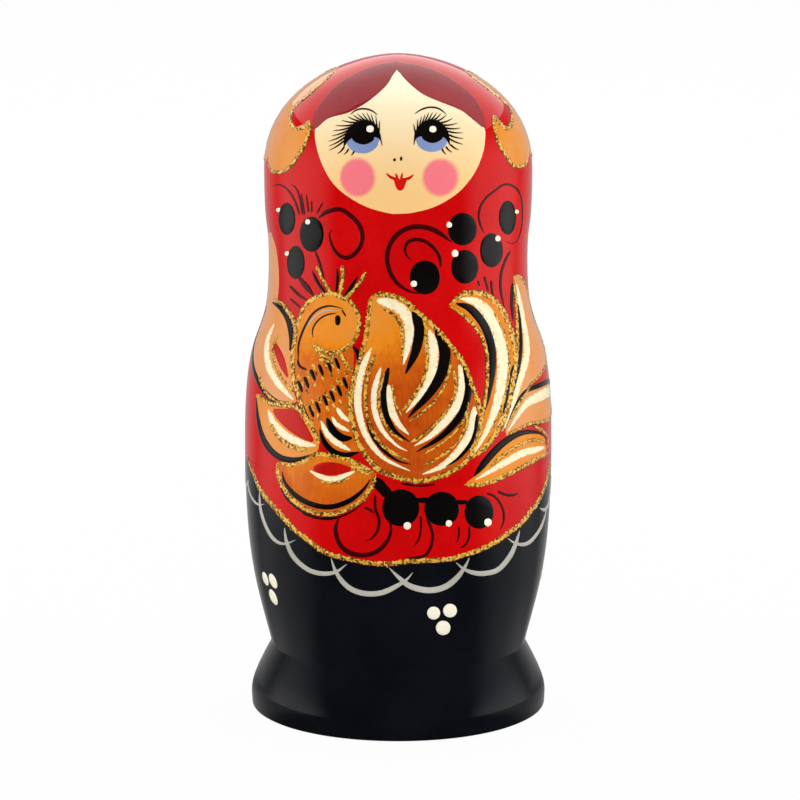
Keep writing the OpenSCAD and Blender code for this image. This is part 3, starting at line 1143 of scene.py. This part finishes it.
for row in dashes.values():
    for x, y in row:
        dash = [(x + across, y + down) for across, down in dash_points]
        lay("black", stroke(dash, dash_width, dash_tips, fine_pace))
        for fleck, (across, down) in enumerate(fleck_places):
            spot = np.array((x + across, y + down)) + luck.normal(size=2)
            line = [spot - fleck_reach, spot, spot + fleck_reach]
            lay("gold", gilt(line, fleck_width + fleck_growth * fleck, fleck_tips))
breast_black = {
    "low": ([(319, 428), (323, 441), (332, 451), (344, 455.5), (360, 452)], 6.4),
    "mid": ([(326, 417), (332, 430), (342, 438), (353, 438)], 8.4),
}
lay_strokes("black", breast_black)
bird_cream = {
    "low": ([(320, 420), (327, 434), (338, 444), (351, 451)], 6.6),
    "mid": ([(331, 416), (337, 425), (350, 432)], 5.0),
    "high": ([(336, 407), (342, 416), (350, 422)], 5.2),
}
lay_strokes("cream", bird_cream)
print("bird head and breast marks:", len(bird_gold) + len(bird_black) + len(bird_cream))

# %% Wing
wing_edge = [(371, 295.5), (384, 295), (401, 299), (416, 311), (431, 324), (448, 342), (463, 362),
             (470, 379), (477, 399), (481, 412), (480, 430), (473, 452), (460, 467), (436, 478),
             (416, 481), (397, 477), (378, 469), (362, 450), (353, 426), (350, 403), (354, 379),
             (359, 361), (365, 341), (368, 319), (371, 296)]
wing_foot = 14
wing_right = wing_edge[:wing_foot + 1]
wing_left = wing_edge[:wing_foot - 1:-1]
edge_tips = (0.02, 0.02)
lay("orange", patch(wing_left, wing_right, (0.36, 0.44, 0.95, 0.85)))
lay_strokes("gold", {"edge": (wing_edge, 4.8)}, edge_tips)
wing_cream = {
    "right one": ([(375, 300), (393, 304.5), (405, 314), (409.5, 328), (408, 345), (403, 366)], 13.0),
    "right two": ([(429, 328), (433.5, 345), (433, 366), (425.5, 388), (405, 414)], 11.0),
    "right three": ([(459, 363), (463.5, 380), (461, 397), (450, 416), (432, 435), (413, 447)], 11.0),
    "right four": ([(475, 405), (472, 431), (458, 453), (441, 467), (421, 475)], 11.0),
    "left one": ([(372, 346), (362, 369), (357.5, 396), (360, 419), (369, 441), (385, 459),
                  (412, 472)], 8.6),
    "left two": ([(381, 366), (374.5, 390), (374.5, 410), (382, 430), (396, 445), (409, 452)], 7.0),
    "left three": ([(388, 383), (390, 405), (397, 422), (410, 436)], 9.5),
}
wing_black = {
    "right one": ([(413, 309), (419, 328), (416, 350), (405, 375)], 12.0),
    "right two": ([(435, 327), (444.5, 347), (443.5, 367), (432, 390), (407, 419)], 13.0),
    "right three": ([(463.5, 364), (468.5, 388), (462, 413), (443, 435.5), (415, 453)], 9.0),
    "right four": ([(478, 412), (474, 438), (460, 457), (444, 468)], 5.4),
    "left one": ([(366.5, 408), (371, 432), (383, 450), (398, 461), (413, 465)], 4.6),
    "left two": ([(389, 366), (383.5, 390), (386, 414), (395, 431), (411, 443)], 7.6),
}
wing_gold = {
    "streak one": ([(383, 309), (394, 315.5), (401, 327), (403, 345), (402, 359)], 3.0),
    "streak two": ([(425.5, 329), (426.5, 345), (427.5, 362), (423.5, 379), (414, 396),
                    (402, 411)], 3.6),
    "streak three": ([(453, 368), (456.5, 383), (454, 398), (444.5, 414), (428, 431), (410, 443)], 3.5),
    "streak four": ([(469, 410), (465, 430), (452, 448), (434, 461), (422, 466)], 2.9),
    "streak five": ([(376, 352), (368, 374), (365, 398), (369, 423), (380, 443), (396, 455),
                     (409, 461)], 3.8),
    "streak six": ([(385, 372), (379.5, 392), (380.5, 412), (389, 430), (404, 442)], 3.0),
    "streak seven": ([(392, 384), (395, 402), (402, 417)], 2.1),
    "streak eight": ([(424, 322), (427, 330)], 3.2),
    "streak nine": ([(451, 358), (448.5, 375), (438.5, 396), (423, 412), (408, 422)], 2.8),
    "streak ten": ([(469.5, 400), (464, 420), (448, 439), (424, 454)], 2.4),
}
brush_tips = (0.2, 0.65)
lay_strokes("cream", wing_cream, brush_tips)
lay_strokes("black", wing_black, brush_tips)
lay_strokes("gold", wing_gold)
print("wing strokes:", len(wing_cream) + len(wing_black) + len(wing_gold))

# %% Feathers on the left
feather_one = ([(272, 298), (282, 304.5), (291, 317), (294.5, 331), (293, 347), (290.5, 366),
                (292, 385), (296, 402)],
               [(-73, 108.7), (-82, 106), (-86.5, 101), (-84, 96), (-76.5, 91.8), (-68.8, 89),
                (-60, 86.3), (-50.7, 84.7), (-41.5, 85.1)])
feather_two = ([(255, 393), (267, 402), (284, 405.5), (295, 407), (305, 420), (312, 430), (318, 441),
                (318, 450)],
               [(255, 394), (256, 415), (260, 435), (268, 450), (279, 458.5), (294, 461),
                (308, 457), (317, 451)])
feather_three = ([(276, 462), (289, 464), (302, 461), (315, 453.5), (331, 455), (349, 459), (362, 466),
                  (375, 473)],
                 [(276, 463), (278, 476), (285, 492), (297, 504), (323, 514), (348, 509),
                  (364, 497), (375, 474)])
lay("orange", patch(*feather_one, (0.2, 0.0), in_picture=half_hidden),
    patch(*feather_two, (0.42, 0.22)), patch(*feather_three, (0.62, 0.82)))
red_leaves = {
    "one": ([(272.5, 338), (279, 347), (285, 360), (288.5, 379)],
            [(272, 339), (274, 354), (280, 369), (288, 380)]),
    "two": ([(270, 408.5), (283, 408.5), (296, 409.5), (305, 423), (315, 443)],
            [(271, 409.5), (277, 420), (288, 431), (301, 439), (314, 443.5)]),
    "three": ([(310, 468), (320, 462.5), (332, 461.5), (343, 464), (354, 469.5)],
              [(310, 469), (319, 474.5), (332, 476.5), (344, 474), (354, 470)]),
}
for edges in red_leaves.values():
    lay("leaf", patch(*edges))
feather_gold = {
    "one right": (feather_one[0][:5] + [(291, 360)], 4.0),
    "one low": ([(257, 372), (265, 392), (278, 402), (294, 403)], 3.5),
    "one specks": ([(277, 334), (272, 350), (276, 368), (284, 382), (294, 393)], 2.4),
    "two top": ([(256, 394), (268, 403), (284, 406), (296, 407.5), (306, 420), (313, 431),
                 (319, 444)], 4.3),
    "two specks": ([(269, 422), (278, 437), (292, 447), (309, 450.5)], 4.6),
    "three top": ([(277, 462.5), (289, 465), (302, 462), (315, 454.5), (331, 456), (349, 460),
                   (362, 467), (374, 472)], 4.2),
    "three low": ([(276, 463), (278, 477), (286, 493), (298, 505), (314, 512.5), (330, 514.5),
                   (348, 509), (363, 498.5), (373, 484), (376, 473)], 4.5),
    "three blob": ([(350, 463), (360, 470), (372, 472)], 6.4),
    "three specks": ([(318, 481), (334, 483), (350, 478)], 2.4),
}
feather_black = {
    "one right": ([(270, 301), (281, 309), (288, 321), (291, 338), (289, 352)], 6.4),
    "two": ([(255.5, 396), (257, 417), (261.5, 436), (270, 450), (281, 458), (295, 460), (308, 456.5),
             (318, 452)], 6.6),
    "three": ([(281, 470), (285, 484), (297, 497), (313, 505), (331, 507), (349, 501), (363, 490),
               (371, 478)], 6.0),
    # Painted shadow: a dark line below the lowest feather's gold edge
    "three shade": ([(277, 480), (285, 497), (298, 509), (314, 517), (331, 519), (349, 513),
                     (365, 502)], 2.6),
}
feather_cream = {
    "one": ([(274, 322), (266.5, 341), (266.5, 360), (273, 377), (283, 390), (294, 401)], 8.0),
    "two": ([(267, 408), (273.5, 424), (285, 435.5), (300, 443), (317, 446)], 9.0),
    "three": ([(308, 470), (321, 477), (335, 479), (356, 471)], 6.0),
}
lay_strokes("gold", feather_gold)
lay_strokes("black", feather_black)
lay_strokes("black", {"one left": (feather_one[1][1:], 8.0)}, in_picture=False)
lay_strokes("cream", feather_cream)
print("feathers on the left:", len(feather_cream))

# %% Tail feathers on the right
tail_one = ([(449, 306), (462, 314), (479, 331), (487, 352), (488, 378), (485, 404), (480, 426),
             (470, 458)],
            [(449, 305), (464, 294.5), (484, 294), (500, 306), (510.5, 327), (516, 350), (515, 376),
             (510, 401), (501, 424), (490, 443), (472, 459)])
tail_two = ([(514, 276), (516, 290), (517.5, 312), (518, 337), (517, 360), (512, 384), (508, 410),
             (502, 432)],
            [(60.9, 115.6), (71, 113.8), (82, 108.5), (90, 102), (92, 96.5), (87, 92.5), (76, 90.6),
             (65, 89), (58.5, 87.7), (49.2, 83.3), (41.4, 78)])
tail_three = ([(97, 82.2), (90, 85.2), (80, 86.6), (68, 87.1), (55.4, 86.8), (48.1, 83.7),
               (42.4, 78.2)],
              [(97, 81.8), (90, 78.6), (80, 77.2), (70, 77.6), (57.7, 78.4), (50, 77.9), (42.8, 76.9)])
tail_four = ([(547, 436), (538, 431.5), (524, 433), (508, 442), (494, 457), (478, 474), (465, 484)],
             [(549, 452), (534, 460), (512, 472), (497, 479), (486, 483), (474, 485.5), (465, 485)])
lay("orange", patch(*tail_one, (0.6, 0.55)), patch(*tail_two, (0.2, 0.0), in_picture=half_hidden),
    patch(*tail_three, (0.1, 0.15), in_picture=(False, False)), patch(*tail_four, (0.5, 0.4)))
tail_gold = {
    "one left": (tail_one[0][:-1] + [(470, 457)], 3.5), "one right": (tail_one[1], 5.3),
    "one streak": ([(494, 312), (505, 334), (509.5, 356), (508, 384), (501, 410), (490, 433)], 2.9),
    "one root": ([(470, 458), (474, 447), (480, 436)], 4.8),
    "two left": ([(514, 275)] + tail_two[0][1:], 3.2),
    "four low": ([(464, 485), (486, 483.5), (512, 473), (534, 461), (550, 452)], 4.2),
    "four top": ([(490, 467), (508, 452), (524, 443), (538, 440), (547, 444)], 3.0),
    "four tip": ([(534, 425), (546, 433), (549, 442), (547, 449)], 2.9),
}
tail_black = {
    "one": ([(455, 303), (471, 309), (485, 326), (492, 347), (493, 370), (489, 397), (485, 412)], 9.5),
    "two": ([(513.5, 282), (512.5, 304), (514, 322)], 4.0),
    "two low": ([(516, 360), (509, 386), (505, 410), (499, 432)], 4.0),
    "two middle": ([(518.5, 302), (521, 325), (521.6, 346), (519.6, 366), (514, 390), (508, 414)], 4.0),
    "four": ([(474, 477), (492, 455), (507, 441), (523, 433), (540, 433), (548, 440)], 7.5),
}
tail_cream = {
    "one": ([(459, 298), (478, 303), (491, 317), (500, 338), (503.5, 362), (501, 388), (495, 412),
             (485, 435), (473, 456)], 13.5),
    "two": ([(517, 282), (523, 314), (527.5, 342), (526.5, 360), (519, 386), (511, 413),
             (503, 432)], 8.6),
    "four": ([(547, 447), (522, 454), (500, 466), (474, 481)], 8.4),
}
lay_strokes("gold", tail_gold)
lay_strokes("gold", {"two right": (tail_two[1], 3.2), "three low": (tail_three[1], 3.5)},
            in_picture=False)
lay_strokes("black", {"three": (tail_three[0], 6.0)}, brush_tips, in_picture=False)
lay_strokes("black", tail_black, brush_tips)
lay_strokes("cream", tail_cream, brush_tips)
three_cream = [(93, 82.4), (84, 83.7), (74, 84.3), (64, 84.4), (56, 83.8), (50, 81.4), (43.5, 77.6)]
lay_strokes("cream", {"three": (three_cream, 13.0)}, brush_tips, in_picture=False)
print("tail strokes:", len(tail_gold) + len(tail_black) + len(tail_cream))

# %% [markdown]
# ## Apron, hem and scallops
# The red of the upper half runs down in front as an apron, across the seam, and ends in a gold hem.
# Scallops of white lace hang from the hem on black, and clusters of three dots are sprinkled below,
# about evenly round the skirt. The apron is a patch between the seam and the hem, in the same lacquer.

# %% Apron and hem
hem = [(246, 454), (248, 462), (252.6, 473.6), (258.4, 488), (269, 502), (282.5, 517.4), (295, 530.6),
       (309, 541.4), (324, 552), (340, 557.4), (366, 562.6), (388, 564), (410, 561.4), (434, 560.6),
       (452, 558.8), (466, 554.6), (481, 549.6), (495, 542.6), (508, 534), (521, 524), (530, 513.6),
       (538.6, 501.6), (544.7, 489.6), (548.4, 477), (551, 461)]
seam_mm = seam_height / mm
apron_reach = 84
seam_points = 25
seam_front = [(angle, seam_mm) for angle in np.linspace(-apron_reach, apron_reach, seam_points)]
lay("apron", patch(hem, seam_front, in_picture=half_hidden))
# At the seam the apron doesn't sink into the skin, because it goes on as the red of the upper half
painting["apron"][0]["height"][:, -1] = 1
hem_tips = (0.03, 0.03)
lay_strokes("gold", {"hem": (hem, 4.6)}, hem_tips)
scallops = {
    "one": ([(246.5, 479), (248.5, 491.6), (252.6, 500.4), (258, 505), (264, 504)], 2.6),
    "two": ([(258.6, 491), (259.5, 508), (263.6, 523), (270, 535.8), (277.6, 542.8), (286, 543.8),
             (295, 540)], 3.6),
    "three": ([(283.8, 527.6), (285.4, 540), (290.5, 553.6), (299.2, 564), (311, 571.6), (324, 574),
               (336, 572), (347, 564)], 4.8),
    "four": ([(330.5, 558), (334.8, 570.6), (342.4, 582.4), (353, 590.6), (367, 594.2), (382, 593),
              (397, 586.2), (407, 579.6), (413, 572.6)], 5.4),
    "five": ([(388.8, 567.8), (399, 578), (410, 586.4), (428, 590.7), (444.6, 587.6), (457, 578.4),
              (465.4, 567), (470, 557.4)], 6.0),
    "six": ([(456, 562.4), (464, 569.2), (473.5, 573), (484.4, 573.8), (498, 570.4), (509, 559),
             (515.6, 546.4), (520.6, 530)], 5.2),
    "seven": ([(508, 538.2), (515, 543), (524, 544.8), (532, 541), (541, 529), (545.8, 516),
               (547.5, 508)], 4.0),
}
side_scallops = {
    "left": ([(-93, 65.5), (-90, 61.5), (-85, 59.4), (-79, 59.8), (-75, 61.5)], 3.6),
    "right": ([(66.2, 55.5), (71.8, 54.2), (78, 54.4), (83, 57), (86, 61.5)], 4.0),
}
lay_strokes("lace", scallops)
lay_strokes("lace", side_scallops, in_picture=False)
dot_cluster = {"top left": ((433.9, 613.5), 6.6), "top right": ((450.4, 611), 7.0),
               "low": ((443.5, 628.4), 7.4)}
clusters = {"front": (0, 0), "right": (74, 2.0), "back right": (146, 0.5), "back left": (-142, 1.0),
            "left": (-78.5, 4.2)}
dot_rows = 15
for turn, rise in clusters.values():
    for centre, size in dot_cluster.values():
        dot = disc(centre, size, count=dot_rows)
        dot["angle"] = dot["angle"] + math.radians(turn)
        dot["arc"] = dot["arc"] + rise * mm
        lay("white", dot)
print("scallops:", len(scallops), "dots:", len(clusters) * len(dot_cluster))

# %% [markdown]
# ## Paints
# Gouache colours sit under the same clear lacquer as the ground. The gold is a bronze powder in
# varnish, so it is grainy: cells of dark and bright flecks from a Voronoi pattern. Cream strokes pick
# up gold specks along their edges. The orange ranges from peach to red-brown, by the tone that each
# patch carries from edge to edge.

# %% Painted colours
hair_paint = lacquered("hair_paint", tint(134, 26, 34), tint(164, 42, 48), 500.0)
leaf_paint = lacquered("leaf_paint", tint(178, 14, 10), tint(205, 30, 18), 500.0)
lip_paint = lacquered("lip_paint", tint(196, 14, 14), tint(224, 26, 22), 700.0)
blue_paint = lacquered("blue_paint", tint(112, 132, 182), tint(140, 158, 202), 700.0)
white_paint = lacquered("white_paint", tint(250, 240, 214), tint(255, 250, 232), 800.0, dents=0.12)
lace_paint = lacquered("lace_paint", tint(166, 162, 152), tint(202, 198, 188), 800.0, dents=0.12)
stem_paint = lacquered("stem_paint", tint(44, 3, 6), tint(82, 8, 12), 700.0, dents=0.12)
stroke_black = lacquered("stroke_black", tint(5, 4, 5), tint(18, 13, 11), 700.0, dents=0.12)
# Dark brown for the painted shadow along the gold strokes
gold_shadow_paint = lacquered("gold_shadow_paint", tint(60, 28, 6), tint(128, 72, 16), 900.0, dents=0.12)

painted_light_rise = (0.06, 0.9)
blush_mottle = 0.25
blush_edge = (0.05, 1.0)
blush_strength = 0.92
face_rough = 0.38
rough_change = 0.15
face_paint, pen, shader = new_finish("face_paint", lacquer_coat)
place = pen.node("TexCoord", out="Object")
rosy = pen.node("Attribute", {"attribute_name": "tone"}, out="Fac")
upward = pen.node("Attribute", {"attribute_name": "edge"}, out="Fac")
mottle = pen.node("TexNoise", inputs={"Vector": place, "Scale": 900.0, "Detail": 3.0})
# Painted light: the ivory grows paler towards the top of the face, as if lit from above
ivory = upward.ease(*painted_light_rise).blend(tint(250, 203, 135), tint(253, 247, 214))
rouge = (rosy + (mottle - 0.5) * blush_mottle).ease(*blush_edge) * blush_strength
feed(shader, "Base Color", rouge.blend(ivory, tint(246, 112, 132)))
feed(shader, "Roughness", face_rough + mottle * rough_change)
feed(shader, "Normal",
     pen.node("Bump", inputs={"Strength": 0.05, "Distance": 0.0003, "Height": mottle}))
print("face paint nodes:", len(face_paint.node_tree.nodes))

# %% Orange and cream
paint_rough = 0.4
mottle_share = 0.35
streak_share = 0.25
orange_paint, pen, shader = new_finish("orange_paint", lacquer_coat)
place = pen.node("TexCoord", out="Object")
tone = pen.node("Attribute", {"attribute_name": "tone"}, out="Fac")
mottle = pen.node("TexNoise", inputs={"Vector": place, "Scale": 260.0, "Detail": 5.0, "Roughness": 0.6})
streaks = pen.node("Mapping", inputs={"Vector": place, "Scale": (1500.0, 1500.0, 260.0)})
streak = pen.node("TexNoise", inputs={"Vector": streaks, "Scale": 1.0, "Detail": 2.0})
oranges = [(0.0, tint(229, 156, 106)), (0.25, tint(229, 148, 68)), (0.5, tint(235, 139, 26)),
           (0.75, tint(208, 99, 20)), (1.0, tint(180, 64, 12))]
ripeness = tone + (mottle - 0.5) * mottle_share + (streak - 0.5) * streak_share
warm = pen.node("ValToRGB", {"stops": oranges}, {0: ripeness})
feed(shader, "Base Color", warm)
feed(shader, "Roughness", paint_rough + mottle * rough_change)
feed(shader, "Normal", pen.node("Bump", inputs={"Strength": 0.1, "Distance": 0.0003, "Height": mottle}))

speck_share = 0.5
edge_share = 0.6
speck_edge = (0.72, 0.92)
speck_strength = 0.85
cream_paint, pen, shader = new_finish("cream_paint", lacquer_coat)
place = pen.node("TexCoord", out="Object")
edge = pen.node("Attribute", {"attribute_name": "edge"}, out="Fac")
mottle = pen.node("TexNoise", inputs={"Vector": place, "Scale": 700.0, "Detail": 4.0})
specks = pen.node("TexVoronoi", inputs={"Vector": place, "Scale": 2300.0}, out="Color")
speck = pen.node("SeparateColor", inputs={0: specks}, out="Red")
pale = mottle.ease(*brush_contrast).blend(tint(248, 231, 184), tint(254, 244, 210))
gilded = (speck * speck_share + edge * edge_share).ease(*speck_edge) * speck_strength
feed(shader, "Base Color", gilded.blend(pale, tint(200, 140, 44)))
feed(shader, "Roughness", paint_rough + mottle * rough_change)
feed(shader, "Normal",
     pen.node("Bump", inputs={"Strength": 0.12, "Distance": 0.0003, "Height": mottle}))
print("orange and cream nodes:", len(orange_paint.node_tree.nodes), len(cream_paint.node_tree.nodes))

# %% Gold
gold_coat = {"Coat Weight": 0.8, "Coat Roughness": 0.08, "Coat IOR": 1.42, "Specular IOR Level": 0.3}
flakes_per_metre = 2000.0
flake_share = 0.85
tarnish_share = 0.3
bronze_shift = 0.13
shiny_flakes = (0.6, 1.0)
metal_share = 0.3
gold_rough = 0.5
gold_rough_change = 0.2
gold_paint, pen, shader = new_finish("gold_paint", gold_coat)
place = pen.node("TexCoord", out="Object")
flakes = pen.node("TexVoronoi", inputs={"Vector": place, "Scale": flakes_per_metre}, out="Color")
flake = pen.node("SeparateColor", inputs={0: flakes}, out="Red")
depth = pen.node("TexVoronoi", inputs={"Vector": place, "Scale": flakes_per_metre}, out="Distance")
cloud = pen.node("TexNoise", inputs={"Vector": place, "Scale": 500.0, "Detail": 3.0})
bronzes = [(0.08, tint(92, 48, 8)), (0.3, tint(178, 112, 20)), (0.5, tint(228, 164, 38)),
           (0.75, tint(252, 206, 84)), (1.0, tint(255, 240, 168))]
shine = flake * flake_share + cloud * tarnish_share - bronze_shift
bronze = pen.node("ValToRGB", {"stops": bronzes}, {0: shine})
feed(shader, "Base Color", bronze)
feed(shader, "Metallic", flake.ease(*shiny_flakes) * metal_share)
feed(shader, "Roughness", gold_rough - flake * gold_rough_change)
feed(shader, "Normal",
     pen.node("Bump", inputs={"Strength": 0.25, "Distance": 0.0002, "Height": 1 - depth}))
print("gold nodes:", len(gold_paint.node_tree.nodes))

# %% [markdown]
# ## Laying the painting
# The paints are gathered in six families, and all marks of a family become one piece. A grid is added
# for each mark in edit mode, and its vertices are then moved to their places on the skin. The piece is
# cut along the seam, so that each part lifts with its own half. A smaller doll gets the same painting
# at its own scale, joined to one piece for each half, or to one in all for the solid doll.

# %% Grids onto the skin
rim_sink = -0.03
grid_size = 0.01
paint_crease = math.radians(50)


def open_all(piece):
    """Open a piece in edit mode with all of it selected."""
    only(piece)
    bpy.ops.object.mode_set(mode="EDIT")
    bpy.ops.mesh.select_all(action="SELECT")


def painted_piece(name, colours):
    """One piece with all marks of some colours, each colour in a material slot of its own."""
    marks = [(slot, lifts[colour], made) for slot, colour in enumerate(colours)
             for made in painting[colour]]
    bpy.ops.object.select_all(action="DESELECT")
    piece = None
    places, tones, edges, slots = [], [], [], []
    for slot, lift, made in marks:
        angle, arc = made["angle"], made["arc"]
        rows, columns = angle.shape
        bpy.ops.mesh.primitive_grid_add(x_subdivisions=columns - 1, y_subdivisions=rows - 1,
                                        size=grid_size)
        if piece is None:
            piece = bpy.context.object
            piece.name = name
            bpy.ops.object.mode_set(mode="EDIT")
        spots = laid(angle, arc, rim_sink + made["height"] * (lift - rim_sink))
        facing = np.cross(np.gradient(spots, axis=1), np.gradient(spots, axis=0))
        away = laid(angle, arc, 1.0) - laid(angle, arc, 0.0)
        turn = -1 if (facing * away).sum() < 0 else 1
        places.append(spots[:, ::turn].reshape(-1, 3))
        tones.append(np.asarray(made["tone"])[:, ::turn].ravel())
        edges.append(np.asarray(made["edge"])[:, ::turn].ravel())
        slots.append(np.full((rows - 1) * (columns - 1), slot))
    bpy.ops.object.mode_set(mode="OBJECT")
    mesh = piece.data
    mesh.vertices.foreach_set("co", np.concatenate(places).ravel())
    for attribute, values in (("tone", tones), ("edge", edges)):
        layer = mesh.attributes.new(attribute, "FLOAT", "POINT")
        layer.data.foreach_set("value", np.concatenate(values))
    for colour in colours:
        mesh.materials.append(paints[colour])
    mesh.polygons.foreach_set("material_index", np.concatenate(slots))
    mesh.update()
    piece.location = (0, 0, 0)
    open_all(piece)
    bpy.ops.mesh.remove_doubles(threshold=merge_reach)
    bpy.ops.object.mode_set(mode="OBJECT")
    bpy.ops.object.shade_smooth_by_angle(angle=paint_crease)
    return piece


def own_copy(piece):
    """A copy of a piece with a mesh of its own."""
    copy = piece.copy()
    copy.data = piece.data.copy()
    bpy.context.collection.objects.link(copy)
    return copy


def cut_at_seam(piece, half, name):
    """A copy of a piece with only what lies on one half, or nothing if there is none."""
    part = own_copy(piece)
    part.name = name
    open_all(part)
    bpy.ops.mesh.bisect(plane_co=(0, 0, seam_height), plane_no=(0, 0, 1), clear_inner=half == "upper",
                        clear_outer=half == "lower")
    bpy.ops.object.mode_set(mode="OBJECT")
    if len(part.data.polygons) == 0:
        bpy.data.objects.remove(part)
        return None
    return part


paints = {"apron": red_lacquer, "face": face_paint, "hair": hair_paint, "orange": orange_paint,
          "leaf": leaf_paint, "blue": blue_paint, "lips": lip_paint, "shade": gold_shadow_paint,
          "cream": cream_paint, "stem": stem_paint, "black": stroke_black, "lace": lace_paint,
          "white": white_paint, "gold": gold_paint}
families = {
    "apron": (("apron",), "red_lacquer"), "face": (("face", "hair", "blue", "lips"), "face_paint"),
    "plumage": (("orange", "leaf"), "orange_paint"), "strokes": (("black", "stem"), "black_lacquer"),
    "lights": (("cream", "white", "lace"), "white_paint"), "gilding": (("gold", "shade"), "gold_paint"),
}
halves = {"upper": [], "lower": []}
for family, (colours, slot) in families.items():
    whole = painted_piece("doll1_" + family, colours)
    for half in halves:
        part = cut_at_seam(whole, half, f"doll1_{half}_{family}")
        if part:
            halves[half].append(part)
            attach(part, "doll1_" + half)
            print(part.name, len(part.data.polygons), "faces")
    bpy.data.objects.remove(whole)

# %% Smaller dolls get the same painting
for doll in dolls[1:]:
    painted = []
    for half, parts in halves.items():
        copies = []
        for part in parts:
            copy = own_copy(part)
            copy.parent = None
            copy.matrix_world = Matrix()
            copy.data.transform(Matrix.Translation((0, 0, doll["foot"])) @ Matrix.Scale(doll["scale"], 4))
            copies.append(copy)
        painted.append((half, copies))
    if not doll["hollow"]:
        painted = [("lower", painted[0][1] + painted[1][1])]
    for half, copies in painted:
        only(copies[0])
        for copy in copies:
            copy.select_set(True)
        bpy.ops.object.join()
        joined = bpy.context.object
        body = body_of(doll, half)
        joined.name = body + "_painting"
        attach(joined, body)
        print(joined.name, len(joined.data.polygons), "faces")
